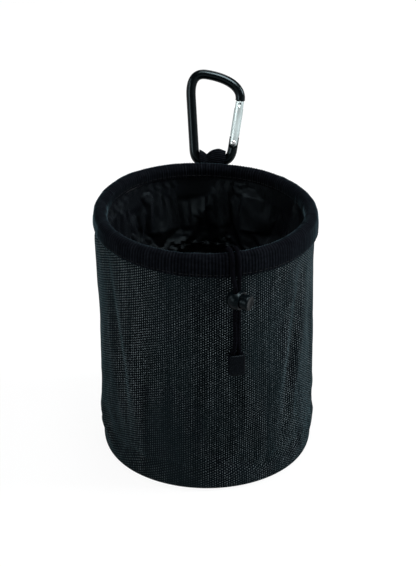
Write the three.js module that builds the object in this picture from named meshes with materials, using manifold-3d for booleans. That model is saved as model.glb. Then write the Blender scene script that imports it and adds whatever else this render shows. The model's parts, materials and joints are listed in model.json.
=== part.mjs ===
// Peg bag: a round cloth bag that stands on a stiffened base, with a padded ribbed rim, a drawstring
// collar tucked inside, a ball cord lock on the cord's two tails, and a carabiner on a tape loop behind.
// Millimetres, +Z up, front towards -Y. The origin is the middle of the base's underside.

import * as THREE from 'three';
import { mergeVertices } from 'three/addons/utils/BufferGeometryUtils.js';
import Module from 'manifold-3d';

const wasm = await Module();
wasm.setup();

// Driving dimensions of the bag
const HEIGHT = 172; // floor to the top of the rim
const BASE_R = 74; // wall's outer radius just above the base
const MOUTH_R = 71.7; // wall's outer radius under the rim binding
const WALL_T = 1.4; // coated woven cloth with its interlining
const BASE_CORNER_R = 1.8; // turn of the wall into the base
const FIT = 0.3; // gap between pieces that lie on each other
const RING_STEPS = 48; // facets round the bag

// Base and seam tapes
const BASE_PANEL_T = 1.2;
const BASE_BOARD_T = 1.8;
const BASE_LINING_T = 0.8;
const BOARD_MARGIN = 1.2; // board's edge inside the base panel's edge
const LINING_GAP = 0.4; // base lining's edge to the wall
const SEAM_TAPE_T = 0.9;
const BASE_TAPE_H = 8;
const BACK_TAPE_W = 14;

// Rim
const RIM_OUTSIDE_H = 14.5; // binding's height outside
const RIM_INSIDE_H = 9; // binding's height inside
const BINDING_T = 1.2;
const PADDING_T = 3.5;
const PADDING_H = 12;
const HOOP_CLEARANCE = 0.45; // hoop rod to the inside of the binding
const ROLL_STEPS = 6; // facets over the top of the rim

// Collar and drawcord
const COLLAR_T = 0.6;
const COLLAR_DROP = 70; // binding's inner edge to the collar's lower edge
const COLLAR_LEAN = 1.9; // how far the collar hangs in from its seam
const HEM_H = 13; // casing for the cord
const CORD_D = 2.8;
const CASING_GAP = 0.4; // cord to the casing
const BUTTONHOLE_W = 20;
const BUTTONHOLE_GAP = 0.6; // above and below the cord
const CORD_AZIMUTH = THREE.MathUtils.degToRad(13.3); // from the front, towards +X
const CORD_SIDES = 8;
const CORD_LOOP_STEPS = 56;
const TAIL_STEPS = 44;
const LOOP_END_ACROSS = 11.7; // end of the cord in the casing, from the buttonhole's middle
const TAIL_SPREAD = 2; // each tail from the middle of the pair
const TAIL_RIM_GAP = 0.8; // cord to the rim, where it runs over it
const TAIL_END_DROP = 76; // rim's top to the ends of the tails

// Cord lock, a ball with a push button
const LOCK_DROP = 27; // rim's top to the lock's middle
const BALL_R = 6.7;
const BALL_TO_WALL = 1;
const LOCK_TWIST = THREE.MathUtils.degToRad(45); // button turned from sideways towards the front
const BALL_FACE_X = 3.7; // flat that the button stands out of
const BUTTON_R = 4.3;
const BUTTON_HEAD_R = 4.9;
const BUTTON_HEAD_T = 3.6;
const BUTTON_TRAVEL = 1.2;
const BUTTON_WEB = 0.8; // wall between the cords and the spring
const HEAD_STANDOFF = 0.8; // head to the ball's flat with the button pressed
const SLOT_GAP = 0.4; // cords to their slot
const LOCK_SPRING = { radius: 1.6, wire: 0.4, turns: 2 };
const SPRING_POCKET_DEPTH = 1.8;

// Cord end, two halves clamped on the tails
const CORD_END = { width: 10, height: 14.5, half: 2.9, corner: 1.6, floor: 3, drop: 65.5 };

// Hanging loop of tape
const LOOP_X = 3.5; // loop's middle, right of the bag's middle
const LOOP_W = 19;
const EYE_W = 16; // tape gathered round the carabiner's bar
const LOOP_T = 1.2;
const LOOP_FOOT = 1.5; // loop's lower end below the binding's lower edge
const EYE_CLEARANCE = 1.4; // bar to the eye, all round
const EYE_CURL = 1.4; // rise of the eye at the tape's edges
const EYE_STEPS = 10;
const GATHER_DROP = 3; // start of the gathering below the end of the eye's back leg
const LOOP_SECTIONS = 6;

// Carabiner, in its own plane: u across, v up, from the middle of its bottom bar
const ROD_R = 3.35;
const BAR_DROP = 2.5; // rim's top to the middle of the bottom bar
const CARABINER_TILT = THREE.MathUtils.degToRad(20); // leaning back from upright
const BAR_HALF = 6; // straight part of the bottom bar
const SPINE_FOOT = [-12.5, 8.5];
const SPINE_TOP = [-14.6, 45.4];
const CROWN = [-4, 60.4];
const CROWN_SLOPE = -0.14; // fall of the crown towards the gate
const CROWN_REACH = 9; // how long the crown keeps its slope
const CROWN_BOW = 0.8; // bend into the crown, outwards of the spine
const NOSE_REACH = 12; // how long the nose keeps the gate's line
const PIVOT = [15.2, 13];
const GATE_LEAN = THREE.MathUtils.degToRad(8.8);
const GATE_L = 29.3; // pivot to the gate's tip
const GATE_R = 3.2;
const GATE_GAP = 0.4; // tip to nose, and cheeks to shoulder
const ARM_STRAIGHT = 1.2; // straight rod below the tang's shoulder
const TANG_T = 3.2;
const TANG_H = 3.2; // above the pivot
const PIVOT_PIN = { radius: 1, head: 1.7, headT: 0.6 };
const LATCH_PIN = { radius: 0.8, fromTip: 2.6 };
const FORK_FLOOR = 4.7; // above the pivot
const TONGUE = { thick: 2.4, half: 2.6, length: 4.6, root: 1 };
const TONGUE_NOTCH = 1.2; // half height of the pin's notch
const GATE_PLUNGER = { radius: 1.6, length: 5 };
const GATE_SPRING = { radius: 1.15, wire: 0.5, turns: 7 };
const GATE_SPRING_L = 8.6;
const ROD_SIDES = 12;
const ROD_STEPS = 52;
const GATE_SIDES = 16;

// Values worked out from the driving dimensions
const bindingBore = MOUTH_R + FIT;
const bindingR = bindingBore + BINDING_T;
const paddingR = MOUTH_R - WALL_T - FIT;
const collarR = paddingR - PADDING_T - FIT;
const flangeR = collarR - COLLAR_T - FIT;
const rimInnerR = flangeR - BINDING_T;
const rollR = (bindingR + rimInnerR) / 2; // middle of the rim's rounded top
const rollRadius = (bindingR - rimInnerR) / 2;
const rollZ = HEIGHT - rollRadius;
const hoopRadius = rollRadius - BINDING_T - HOOP_CLEARANCE;
const edgeZ = rollZ - hoopRadius - FIT; // cloth edges inside the binding
const rimLowZ = HEIGHT - RIM_OUTSIDE_H;
const hemLowZ = HEIGHT - RIM_INSIDE_H - COLLAR_DROP;
const hemTopZ = hemLowZ + HEM_H;
const hemZ = (hemLowZ + hemTopZ) / 2;
const hemR = collarR - COLLAR_LEAN;
const casingOuterR = hemR - COLLAR_T;
const casingInnerR = casingOuterR - CORD_D - 2 * CASING_GAP;
const hemInnerR = casingInnerR - COLLAR_T;
const cordLoopR = (casingOuterR + casingInnerR) / 2;
const panelR = BASE_R - BASE_CORNER_R - FIT;
const boardZ = BASE_PANEL_T + FIT;
const liningZ = boardZ + BASE_BOARD_T + FIT;
const baseTapeZ = liningZ + BASE_LINING_T + FIT;
const lockZ = HEIGHT - LOCK_DROP;
const lineR = wallR(lockZ) + BALL_TO_WALL + BALL_R; // where the tails hang, plumb
const endTopZ = HEIGHT - CORD_END.drop;
const barZ = HEIGHT - BAR_DROP;
const barY = bindingR + FIT + LOOP_T + EYE_CLEARANCE + ROD_R;

/** Outer radius of the wall at a height: a straight taper from base to mouth. */
function wallR(z) {
  const share = (z - BASE_CORNER_R) / (HEIGHT - RIM_OUTSIDE_H - BASE_CORNER_R);
  return BASE_R + (MOUTH_R - BASE_R) * Math.min(1, share);
}

/** Points of an arc in a profile, from one angle to another in degrees. */
function arc(r, z, radius, from, to, steps) {
  return Array.from({ length: steps + 1 }, (_, i) => {
    const angle = THREE.MathUtils.degToRad(from + ((to - from) * i) / steps);
    return [r + radius * Math.cos(angle), z + radius * Math.sin(angle)];
  });
}

/** A ring turned about Z from a closed profile of [radius, height], counterclockwise. */
function ring(profile) {
  const points = [...profile, profile[0]].map(([r, z]) => new THREE.Vector2(r, z));
  return new THREE.LatheGeometry(points, RING_STEPS).rotateX(Math.PI / 2);
}

/** A flat disc on Z, faceted like the rings. */
function disc(radius, low, thickness) {
  return new THREE.CylinderGeometry(radius, radius, thickness, RING_STEPS)
    .rotateX(Math.PI / 2)
    .rotateZ(Math.PI / 2)
    .translate(0, 0, low + thickness / 2);
}

/** A round pin along Z, from one height to another. */
function pin(radius, low, high, sides = ROD_SIDES) {
  return new THREE.CylinderGeometry(radius, radius, high - low, sides)
    .rotateX(Math.PI / 2)
    .translate(0, 0, (low + high) / 2);
}

/** A box between two corners. */
function block(low, high) {
  const size = high.map((value, axis) => value - low[axis]);
  const middle = high.map((value, axis) => (value + low[axis]) / 2);
  return new THREE.BoxGeometry(...size).translate(...middle);
}

/** A round tube along a curve, closed at both ends. */
function tube(curve, radius, sides, steps) {
  const corners = Array.from({ length: sides }, (_, i) => {
    const angle = (2 * Math.PI * i) / sides;
    return new THREE.Vector2(radius * Math.cos(angle), radius * Math.sin(angle));
  });
  return new THREE.ExtrudeGeometry(new THREE.Shape(corners), { steps, extrudePath: curve });
}

/** A closed skin over outlines of equal point count, each put in space by its own function. */
function lofted(sections) {
  const count = sections[0].outline.length;
  const points = sections.flatMap(({ outline, place }) => outline.map(([a, b]) => place(a, b)));
  const faces = [];
  for (let s = 0; s + 1 < sections.length; s++) {
    for (let i = 0; i < count; i++) {
      const here = s * count + i;
      const next = s * count + ((i + 1) % count);
      faces.push(here, next, here + count, next, next + count, here + count);
    }
  }
  const flat = sections[0].outline.map(([a, b]) => new THREE.Vector2(a, b));
  const last = (sections.length - 1) * count;
  for (const [a, b, c] of THREE.ShapeUtils.triangulateShape(flat, [])) {
    faces.push(a, c, b, last + a, last + b, last + c);
  }
  return new THREE.BufferGeometry().setFromPoints(points).setIndex(faces);
}

/** The outline of a strip of even thickness along a line of [a, b] points. */
function strip(line, thickness) {
  const side = (sign) =>
    line.map(([a, b], i) => {
      const before = line[Math.max(0, i - 1)];
      const after = line[Math.min(line.length - 1, i + 1)];
      const along = new THREE.Vector2(after[0] - before[0], after[1] - before[1]).normalize();
      return [a - (sign * along.y * thickness) / 2, b + (sign * along.x * thickness) / 2];
    });
  return [...side(-1), ...side(1).reverse()];
}

/** A helix along Z that starts at z = 0. */
class Helix extends THREE.Curve {
  constructor({ radius, turns }, length) {
    super();
    Object.assign(this, { radius, turns, length });
  }
  getPoint(t, target = new THREE.Vector3()) {
    const angle = 2 * Math.PI * this.turns * t;
    return target.set(this.radius * Math.cos(angle), this.radius * Math.sin(angle), this.length * t);
  }
}

/** A level circular arc about Z between two azimuths from the front. */
class LevelArc extends THREE.Curve {
  constructor(radius, z, from, to) {
    super();
    Object.assign(this, { radius, z, from, to });
  }
  getPoint(t, target = new THREE.Vector3()) {
    const azimuth = this.from + (this.to - this.from) * t;
    return target.set(this.radius * Math.sin(azimuth), -this.radius * Math.cos(azimuth), this.z);
  }
}

/** A coil spring along Z, with the least gap between its turns measured and printed. */
function spring(name, size, length) {
  const stepsPerTurn = 8;
  const curve = new Helix(size, length - size.wire);
  const samples = curve.getPoints(stepsPerTurn * size.turns);
  let gap = Infinity;
  samples.forEach((here, i) => {
    for (const there of samples.slice(i + stepsPerTurn - 1)) gap = Math.min(gap, here.distanceTo(there));
  });
  console.log(`${name}: least gap between turns ${(gap - size.wire).toFixed(2)} mm`);
  return tube(curve, size.wire / 2, 5, stepsPerTurn * size.turns).translate(0, 0, size.wire / 2);
}

/** A geometry as a solid that can be joined and cut. */
function solid(geometry) {
  const bare = geometry.clone();
  bare.deleteAttribute('normal');
  bare.deleteAttribute('uv');
  const merged = mergeVertices(bare);
  return new wasm.Manifold(
    new wasm.Mesh({
      numProp: 3,
      vertProperties: merged.attributes.position.array,
      triVerts: new Uint32Array(merged.index.array),
    }),
  );
}

/** A joined or cut solid as a geometry again. */
function surface(body) {
  const mesh = body.getMesh();
  return new THREE.BufferGeometry()
    .setAttribute('position', new THREE.BufferAttribute(mesh.vertProperties, 3))
    .setIndex(new THREE.BufferAttribute(mesh.triVerts, 1));
}

const cut = (geometry, ...tools) =>
  surface(tools.reduce((body, tool) => body.subtract(solid(tool)), solid(geometry)));

/** Finishes, by what each piece is made of. */
const finish = (color, roughness, metalness = 0) =>
  new THREE.MeshStandardMaterial({ color, roughness, metalness });
const FINISH = {
  wall: finish(0x26292c, 0.85),
  tape: finish(0x0f1012, 0.9),
  nylon: finish(0x131417, 0.55),
  board: finish(0x2a2a2c, 0.6),
  foam: finish(0x3a3a3c, 0.95),
  hoop: finish(0x1a1a1a, 0.5),
  cord: finish(0x0c0c0e, 0.8),
  lock: finish(0x141517, 0.35),
  steel: finish(0xa8aaac, 0.3, 1),
  anodised: finish(0x0c0d0f, 0.28, 0.7),
  bright: finish(0xc9cccb, 0.3, 1),
};

const bag = new THREE.Group();

/** Adds a named piece to a group. */
function piece(group, name, geometry, material) {
  const mesh = new THREE.Mesh(geometry, material);
  mesh.name = name;
  group.add(mesh);
}

// Base: outer panel, stiffening board, inner lining, and the tape that binds its seam
piece(bag, 'base_panel', disc(panelR, 0, BASE_PANEL_T), FINISH.wall);
piece(bag, 'base_board', disc(panelR - BOARD_MARGIN, boardZ, BASE_BOARD_T), FINISH.board);
piece(bag, 'base_lining', disc(BASE_R - WALL_T - LINING_GAP, liningZ, BASE_LINING_T), FINISH.nylon);
const seamTapeR = (z) => wallR(z) - WALL_T - FIT;
const baseTapeTopZ = baseTapeZ + BASE_TAPE_H;
piece(
  bag,
  'base_seam_tape',
  ring([
    [seamTapeR(baseTapeZ) - SEAM_TAPE_T, baseTapeZ],
    [seamTapeR(baseTapeZ) - FIT / 2, baseTapeZ],
    [seamTapeR(baseTapeTopZ) - FIT / 2, baseTapeTopZ],
    [seamTapeR(baseTapeTopZ) - SEAM_TAPE_T, baseTapeTopZ],
  ]),
  FINISH.tape,
);

// Wall: one panel that turns in under the base, with a taped seam up the back
const cornerR = BASE_R - BASE_CORNER_R;
const cornerZ = BASE_CORNER_R + FIT;
const cornerSteps = 4;
piece(
  bag,
  'wall_panel',
  ring([
    ...arc(cornerR, cornerZ, BASE_CORNER_R, -90, 0, cornerSteps),
    [MOUTH_R, rimLowZ],
    [MOUTH_R, edgeZ],
    [MOUTH_R - WALL_T, edgeZ],
    [MOUTH_R - WALL_T, rimLowZ],
    ...arc(cornerR, cornerZ, BASE_CORNER_R - WALL_T, 0, -90, cornerSteps),
  ]),
  FINISH.wall,
);
const backTapeLowZ = baseTapeTopZ + FIT;
const backTapeTopZ = edgeZ - PADDING_H - FIT;
const backTape = [
  [seamTapeR(backTapeLowZ) - SEAM_TAPE_T, backTapeLowZ],
  [seamTapeR(backTapeLowZ) - FIT / 2, backTapeLowZ],
  [seamTapeR(backTapeTopZ) - FIT / 2, backTapeTopZ],
  [seamTapeR(backTapeTopZ) - SEAM_TAPE_T, backTapeTopZ],
];
piece(
  bag,
  'back_seam_tape',
  lofted(
    [-0.5, 0, 0.5].map((share) => {
      const turn = Math.PI - (share * BACK_TAPE_W) / BASE_R;
      return {
        outline: backTape,
        place: (r, z) => new THREE.Vector3(r * Math.sin(turn), -r * Math.cos(turn), z),
      };
    }),
  ),
  FINISH.tape,
);

// Rim: a hoop rod and a padding strip, held under a ribbed binding
piece(
  bag,
  'rim_padding',
  ring([
    [paddingR - PADDING_T, edgeZ - PADDING_H],
    [paddingR, edgeZ - PADDING_H],
    [paddingR, edgeZ],
    [paddingR - PADDING_T, edgeZ],
  ]),
  FINISH.foam,
);
const hoopSides = 6;
piece(bag, 'rim_hoop', ring(arc(rollR, rollZ, hoopRadius, 0, 360, hoopSides).slice(0, -1)), FINISH.hoop);
piece(
  bag,
  'rim_binding',
  ring([
    [bindingBore, rimLowZ],
    [bindingR, rimLowZ],
    ...arc(rollR, rollZ, rollRadius, 0, 180, ROLL_STEPS),
    [rimInnerR, HEIGHT - RIM_INSIDE_H],
    [flangeR, HEIGHT - RIM_INSIDE_H],
    ...arc(rollR, rollZ, rollRadius - BINDING_T, 180, 0, ROLL_STEPS),
  ]),
  FINISH.tape,
);

// Collar: a cloth sleeve sewn under the binding, with a casing for the cord and a buttonhole in it
const hemBend = (hemR - hemInnerR) / 2;
const casingBend = (casingOuterR - casingInnerR) / 2;
const hemSteps = 4;
const collarSleeve = ring([
  ...arc(cordLoopR, hemLowZ + hemBend, hemBend, 180, 360, hemSteps),
  [hemR, hemTopZ],
  [collarR, HEIGHT - RIM_INSIDE_H],
  [collarR, edgeZ],
  [collarR - COLLAR_T, edgeZ],
  [collarR - COLLAR_T, HEIGHT - RIM_INSIDE_H],
  [casingOuterR, hemTopZ],
  [hemInnerR, hemTopZ - hemBend],
]);
const casing = ring([
  ...arc(cordLoopR, hemLowZ + hemBend, casingBend, 180, 360, hemSteps),
  [casingOuterR, hemTopZ - 2 * COLLAR_T],
  [casingInnerR, hemTopZ - 2 * COLLAR_T - casingBend],
]);
const buttonholeH = CORD_D + 2 * BUTTONHOLE_GAP;
const buttonhole = block(
  [-BUTTONHOLE_W / 2, -casingInnerR - casingBend / 2, hemZ - buttonholeH / 2],
  [BUTTONHOLE_W / 2, -hemInnerR + hemBend, hemZ + buttonholeH / 2],
).rotateZ(CORD_AZIMUTH);
piece(bag, 'collar', cut(collarSleeve, casing, buttonhole), FINISH.nylon);

// Drawcord: one cord through the casing, whose two tails come over the rim and hang in front
const loopEnd = LOOP_END_ACROSS / cordLoopR;
const loopArc = new LevelArc(cordLoopR, hemZ, CORD_AZIMUTH + loopEnd, CORD_AZIMUTH + 2 * Math.PI - loopEnd);
piece(bag, 'drawcord_loop', tube(loopArc, CORD_D / 2, CORD_SIDES, CORD_LOOP_STEPS), FINISH.cord);

const overRim = rollRadius + CORD_D / 2 + TAIL_RIM_GAP; // cord's middle from the middle of the rim's roll
const twistIn = TAIL_SPREAD * Math.sin(LOCK_TWIST);
const twistAcross = TAIL_SPREAD * Math.cos(LOCK_TWIST);

/** A tail's route as [radius, distance across, height]; side is +1 for the right tail, -1 for the left. */
const tailRoute = (side) => [
  [cordLoopR, LOOP_END_ACROSS - FIT, hemZ],
  [cordLoopR - 0.2, 9.2, hemZ],
  [cordLoopR - 1.2, 7, hemZ],
  [cordLoopR - 2.9, 5.1, hemZ + 0.2],
  [cordLoopR - 5, 3.6, hemZ + 1.6],
  [cordLoopR - 6.7, 2.6, hemZ + 4.4],
  [cordLoopR - 7.4, 2, hemZ + 9],
  [cordLoopR - 7, TAIL_SPREAD, hemZ + 16],
  [cordLoopR - 4.8, TAIL_SPREAD, hemZ + 34],
  [cordLoopR - 1.8, TAIL_SPREAD, hemZ + 52],
  [rollR - overRim, TAIL_SPREAD, rollZ - 3],
  [rollR - 0.83 * overRim, TAIL_SPREAD, rollZ + 0.56 * overRim],
  [rollR, TAIL_SPREAD, rollZ + overRim],
  [rollR + 0.83 * overRim, TAIL_SPREAD, rollZ + 0.56 * overRim],
  [rollR + 1.04 * overRim, TAIL_SPREAD, rollZ - 3],
  [lineR - 2.2, TAIL_SPREAD, rollZ - 8],
  [lineR - side * twistIn, twistAcross, lockZ + 9],
  [lineR - side * twistIn, twistAcross, lockZ + 7],
  [lineR - side * twistIn, twistAcross, lockZ - 14],
  [lineR - side * twistIn, twistAcross, endTopZ + 7],
  [lineR, TAIL_SPREAD, endTopZ + 0.5],
  [lineR, TAIL_SPREAD, HEIGHT - TAIL_END_DROP],
];

for (const [name, side] of [['left', -1], ['right', 1]]) {
  const points = tailRoute(side).map(([r, across, z]) => {
    const azimuth = CORD_AZIMUTH + (side * across) / r;
    return new THREE.Vector3(r * Math.sin(azimuth), -r * Math.cos(azimuth), z);
  });
  const route = new THREE.CatmullRomCurve3(points, false, 'centripetal');
  console.log(`drawcord_tail_${name}: ${route.getLength().toFixed(1)} mm long`);
  piece(bag, `drawcord_tail_${name}`, tube(route, CORD_D / 2, CORD_SIDES, TAIL_STEPS), FINISH.cord);
}

// Pieces on the tails stand in the frame of the pair: x across, -y outwards, z up
const cordLine = new THREE.Group();
cordLine.rotation.z = CORD_AZIMUTH;
cordLine.position.set(lineR * Math.sin(CORD_AZIMUTH), -lineR * Math.cos(CORD_AZIMUTH), 0);
bag.add(cordLine);

// Cord lock: a ball bored for a sprung button, with a slot through both for the two tails
const lock = new THREE.Group();
lock.position.z = lockZ;
lock.rotation.z = -LOCK_TWIST;
cordLine.add(lock);
const slotHalfX = CORD_D / 2 + SLOT_GAP;
const slotHalfY = TAIL_SPREAD + slotHalfX;
const buttonInnerX = -slotHalfX - BUTTON_WEB;
const boreEndX = buttonInnerX - BUTTON_TRAVEL - FIT;
const pocketEndX = boreEndX - SPRING_POCKET_DEPTH;
const pocketR = LOCK_SPRING.radius + LOCK_SPRING.wire / 2 + FIT;
const cordSlot = (lowX, highX) => block([lowX, -slotHalfY, -2 * BALL_R], [highX, slotHalfY, 2 * BALL_R]);
const alongX = (geometry) => geometry.rotateY(Math.PI / 2);
const ballSides = 20;
piece(
  lock,
  'cord_lock_ball',
  cut(
    new THREE.SphereGeometry(BALL_R, ballSides, 14).rotateX(Math.PI / 2),
    block([BALL_FACE_X, -BALL_R, -BALL_R], [2 * BALL_R, BALL_R, BALL_R]),
    alongX(pin(BUTTON_R + FIT, boreEndX, 2 * BALL_R, ballSides)),
    alongX(pin(pocketR, pocketEndX, 0)),
    cordSlot(-slotHalfX, slotHalfX),
  ),
  FINISH.lock,
);
const headX = BALL_FACE_X + BUTTON_TRAVEL + HEAD_STANDOFF;
const headRound = 1;
const buttonProfile = [
  [0, buttonInnerX],
  [BUTTON_R, buttonInnerX],
  [BUTTON_R, headX],
  [BUTTON_HEAD_R, headX],
  [BUTTON_HEAD_R, headX + BUTTON_HEAD_T - headRound],
  [BUTTON_HEAD_R - headRound, headX + BUTTON_HEAD_T],
  [0, headX + BUTTON_HEAD_T],
].map(([r, x]) => new THREE.Vector2(r, x));
const button = new THREE.LatheGeometry(buttonProfile, ballSides).rotateZ(-Math.PI / 2);
piece(lock, 'cord_lock_button', cut(button, cordSlot(-slotHalfX, slotHalfX + BUTTON_TRAVEL)), FINISH.lock);
const lockSpringX = pocketEndX + FIT;
piece(
  lock,
  'cord_lock_spring',
  alongX(spring('cord_lock_spring', LOCK_SPRING, buttonInnerX - FIT - lockSpringX)).translate(lockSpringX, 0, 0),
  FINISH.steel,
);

// Cord end: two halves with a pocket that is open at the top, clamped on the tails
const { width: endW, height: endH, half: endHalf, corner: endCorner } = CORD_END;
const plate = new THREE.Shape();
plate.moveTo(-endW / 2 + endCorner, 0);
for (const [x, z, from] of [[1, 0, -90], [1, 1, 0], [-1, 1, 90], [-1, 0, 180]]) {
  const cx = x * (endW / 2 - endCorner);
  const cz = z ? endH - endCorner : endCorner;
  const start = THREE.MathUtils.degToRad(from);
  plate.absarc(cx, cz, endCorner, start, start + Math.PI / 2, false);
}
const pocket = block(
  [-TAIL_SPREAD - slotHalfX, -slotHalfX, CORD_END.floor],
  [TAIL_SPREAD + slotHalfX, slotHalfX, 2 * endH],
);
for (const [name, side] of [['front', -1], ['back', 1]]) {
  const near = side < 0 ? -endHalf - FIT / 2 : FIT / 2;
  const half = new THREE.ExtrudeGeometry(plate, { depth: endHalf, bevelEnabled: false, curveSegments: 4 })
    .rotateX(Math.PI / 2)
    .translate(0, near + endHalf, 0);
  const body = new THREE.Group();
  body.position.z = endTopZ - endH;
  cordLine.add(body);
  piece(body, `cord_end_${name}`, cut(half, pocket), FINISH.lock);
}

// Hanging loop: a folded tape on the back of the binding, with an eye for the carabiner's bar
const eyeR = ROD_R + EYE_CLEARANCE + LOOP_T / 2;
const eyeEnd = -65; // degrees, where the eye's arc runs into the back leg
const loopLowZ = rimLowZ - LOOP_FOOT;
const loopSections = Array.from({ length: LOOP_SECTIONS + 1 }, (_, i) => {
  const share = (2 * i) / LOOP_SECTIONS - 1;
  const legX = (share * LOOP_W) / 2;
  const frontLeg = Math.sqrt(bindingR ** 2 - (LOOP_X + legX) ** 2) + FIT + LOOP_T / 2;
  const backLeg = frontLeg + LOOP_T + FIT;
  const eyeZ = barZ - EYE_CLEARANCE + FIT + EYE_CURL * share ** 2;
  const eye = arc(barY, eyeZ, eyeR, 180, eyeEnd, EYE_STEPS);
  const [endY, endZ] = eye.at(-1);
  const joinZ = endZ + (endY - backLeg) / Math.tan(THREE.MathUtils.degToRad(eyeEnd));
  const line = [[frontLeg, loopLowZ], [frontLeg, joinZ], ...eye, [backLeg, joinZ], [backLeg, loopLowZ]];
  const gatherZ = joinZ - GATHER_DROP;
  const gathered = (z) => THREE.MathUtils.clamp((z - gatherZ) / (endZ - gatherZ), 0, 1);
  const x = (z) => LOOP_X + (share * THREE.MathUtils.lerp(LOOP_W, EYE_W, gathered(z))) / 2;
  return { outline: strip(line, LOOP_T), place: (y, z) => new THREE.Vector3(x(z), y, z) };
});
piece(bag, 'hanging_loop', lofted(loopSections), FINISH.tape);

// Carabiner: a bent rod with a sprung gate, leaning back on the loop
const carabiner = new THREE.Group();
carabiner.position.set(LOOP_X, barY, barZ);
carabiner.rotation.x = -CARABINER_TILT;
bag.add(carabiner);
const gateDir = [Math.sin(GATE_LEAN), Math.cos(GATE_LEAN)];
const onGate = (along) => [PIVOT[0] + gateDir[0] * along, PIVOT[1] + gateDir[1] * along];
const inPlane = ([u, v]) => new THREE.Vector3(u, 0, v);
const line = (...ends) => new THREE.LineCurve3(...ends.map(inPlane));
const bend = (...ends) => new THREE.QuadraticBezierCurve3(...ends.map(inPlane));
const shoulder = -GATE_R - GATE_GAP; // along the gate's line, where the tang starts
const armFoot = onGate(shoulder - ARM_STRAIGHT);
const rightCorner = onGate(-PIVOT[1] / gateDir[1]);
const spineRun = (SPINE_TOP[0] - SPINE_FOOT[0]) / (SPINE_TOP[1] - SPINE_FOOT[1]);
const leftCorner = [SPINE_FOOT[0] - spineRun * SPINE_FOOT[1], 0];
const crownCornerU = SPINE_TOP[0] - CROWN_BOW;
const crownCorner = [crownCornerU, CROWN[1] - CROWN_SLOPE * (CROWN[0] - crownCornerU)];
const nose = onGate(GATE_L + GATE_GAP);
const rodPath = new THREE.CurvePath();
rodPath.add(line(onGate(TANG_H), armFoot));
rodPath.add(bend(armFoot, rightCorner, [BAR_HALF, 0]));
rodPath.add(line([BAR_HALF, 0], [-BAR_HALF, 0]));
rodPath.add(bend([-BAR_HALF, 0], leftCorner, SPINE_FOOT));
rodPath.add(line(SPINE_FOOT, SPINE_TOP));
rodPath.add(bend(SPINE_TOP, crownCorner, CROWN));
rodPath.add(
  new THREE.CubicBezierCurve3(
    inPlane(CROWN),
    inPlane([CROWN[0] + CROWN_REACH, CROWN[1] + CROWN_REACH * CROWN_SLOPE]),
    inPlane(onGate(GATE_L + GATE_GAP + NOSE_REACH)),
    inPlane(nose),
  ),
);
const rod = tube(rodPath, ROD_R, ROD_SIDES, ROD_STEPS);

// Tools and pieces on the gate are made along Z from its pivot, then leaned with it
const lean = (geometry) => geometry.rotateY(GATE_LEAN).translate(PIVOT[0], 0, PIVOT[1]);
const alongY = (geometry) => geometry.rotateX(-Math.PI / 2);
const pivotHoleR = PIVOT_PIN.radius + FIT;
const latchZ = GATE_L - LATCH_PIN.fromTip;
const tangTop = 2 * TANG_H;
const cheek = (side) =>
  lean(
    block(
      [-2 * ROD_R, side < 0 ? -2 * ROD_R : TANG_T / 2, shoulder],
      [2 * ROD_R, side < 0 ? -TANG_T / 2 : 2 * ROD_R, tangTop],
    ),
  );
const tongueTop = GATE_L + GATE_GAP + TONGUE.root;
const tongue = block(
  [-TONGUE.half, -TONGUE.thick / 2, GATE_L - TONGUE.length],
  [TONGUE.half, TONGUE.thick / 2, tongueTop],
);
const notch = block(
  [-2 * ROD_R, -ROD_R, latchZ - TONGUE_NOTCH],
  [TONGUE_NOTCH, ROD_R, latchZ + TONGUE_NOTCH],
);
const hookedTongue = lean(cut(tongue, notch));
const body = cut(rod, cheek(-1), cheek(1), lean(alongY(pin(pivotHoleR, -ROD_R, ROD_R))));
piece(carabiner, 'carabiner_body', surface(solid(body).add(solid(hookedTongue))), FINISH.anodised);

// Gate: a rod forked at both ends, over the tang below and the nose's tongue above
const gate = new THREE.Group();
gate.position.set(PIVOT[0], 0, PIVOT[1]);
gate.rotation.y = GATE_LEAN;
carabiner.add(gate);
const gateBlank = solid(pin(GATE_R, 0, GATE_L, GATE_SIDES)).add(
  solid(new THREE.SphereGeometry(GATE_R, GATE_SIDES, GATE_SIDES - 4).rotateX(Math.PI / 2)),
);
const forkHalf = TANG_T / 2 + FIT;
const tipHalf = TONGUE.thick / 2 + FIT;
const plungerLowZ = TANG_H + FIT;
const springLowZ = plungerLowZ + GATE_PLUNGER.length + FIT;
const boreTopZ = springLowZ + GATE_SPRING_L + FIT;
piece(
  gate,
  'carabiner_gate',
  cut(
    surface(gateBlank),
    block([-2 * GATE_R, -forkHalf, -2 * GATE_R], [2 * GATE_R, forkHalf, FORK_FLOOR]),
    block([-2 * GATE_R, -tipHalf, GATE_L - TONGUE.length - 2 * FIT], [2 * GATE_R, tipHalf, 2 * GATE_L]),
    alongY(pin(pivotHoleR, -2 * GATE_R, 2 * GATE_R)),
    alongY(pin(LATCH_PIN.radius + FIT, -2 * GATE_R, 2 * GATE_R)).translate(0, 0, latchZ),
    pin(GATE_PLUNGER.radius + FIT, 0, boreTopZ),
  ),
  FINISH.bright,
);
const rivetHalf = GATE_R + FIT;
const rivetEnd = rivetHalf + PIVOT_PIN.headT;
const rivet = new THREE.LatheGeometry(
  [
    [0, -rivetEnd],
    [PIVOT_PIN.head, -rivetEnd],
    [PIVOT_PIN.head, -rivetHalf],
    [PIVOT_PIN.radius, -rivetHalf],
    [PIVOT_PIN.radius, rivetHalf],
    [PIVOT_PIN.head, rivetHalf],
    [PIVOT_PIN.head, rivetEnd],
    [0, rivetEnd],
  ].map(([r, y]) => new THREE.Vector2(r, y)),
  ROD_SIDES,
);
piece(gate, 'gate_pivot_rivet', rivet, FINISH.steel);
piece(
  gate,
  'gate_latch_pin',
  alongY(pin(LATCH_PIN.radius, -GATE_R + FIT, GATE_R - FIT)).translate(0, 0, latchZ),
  FINISH.steel,
);
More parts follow.
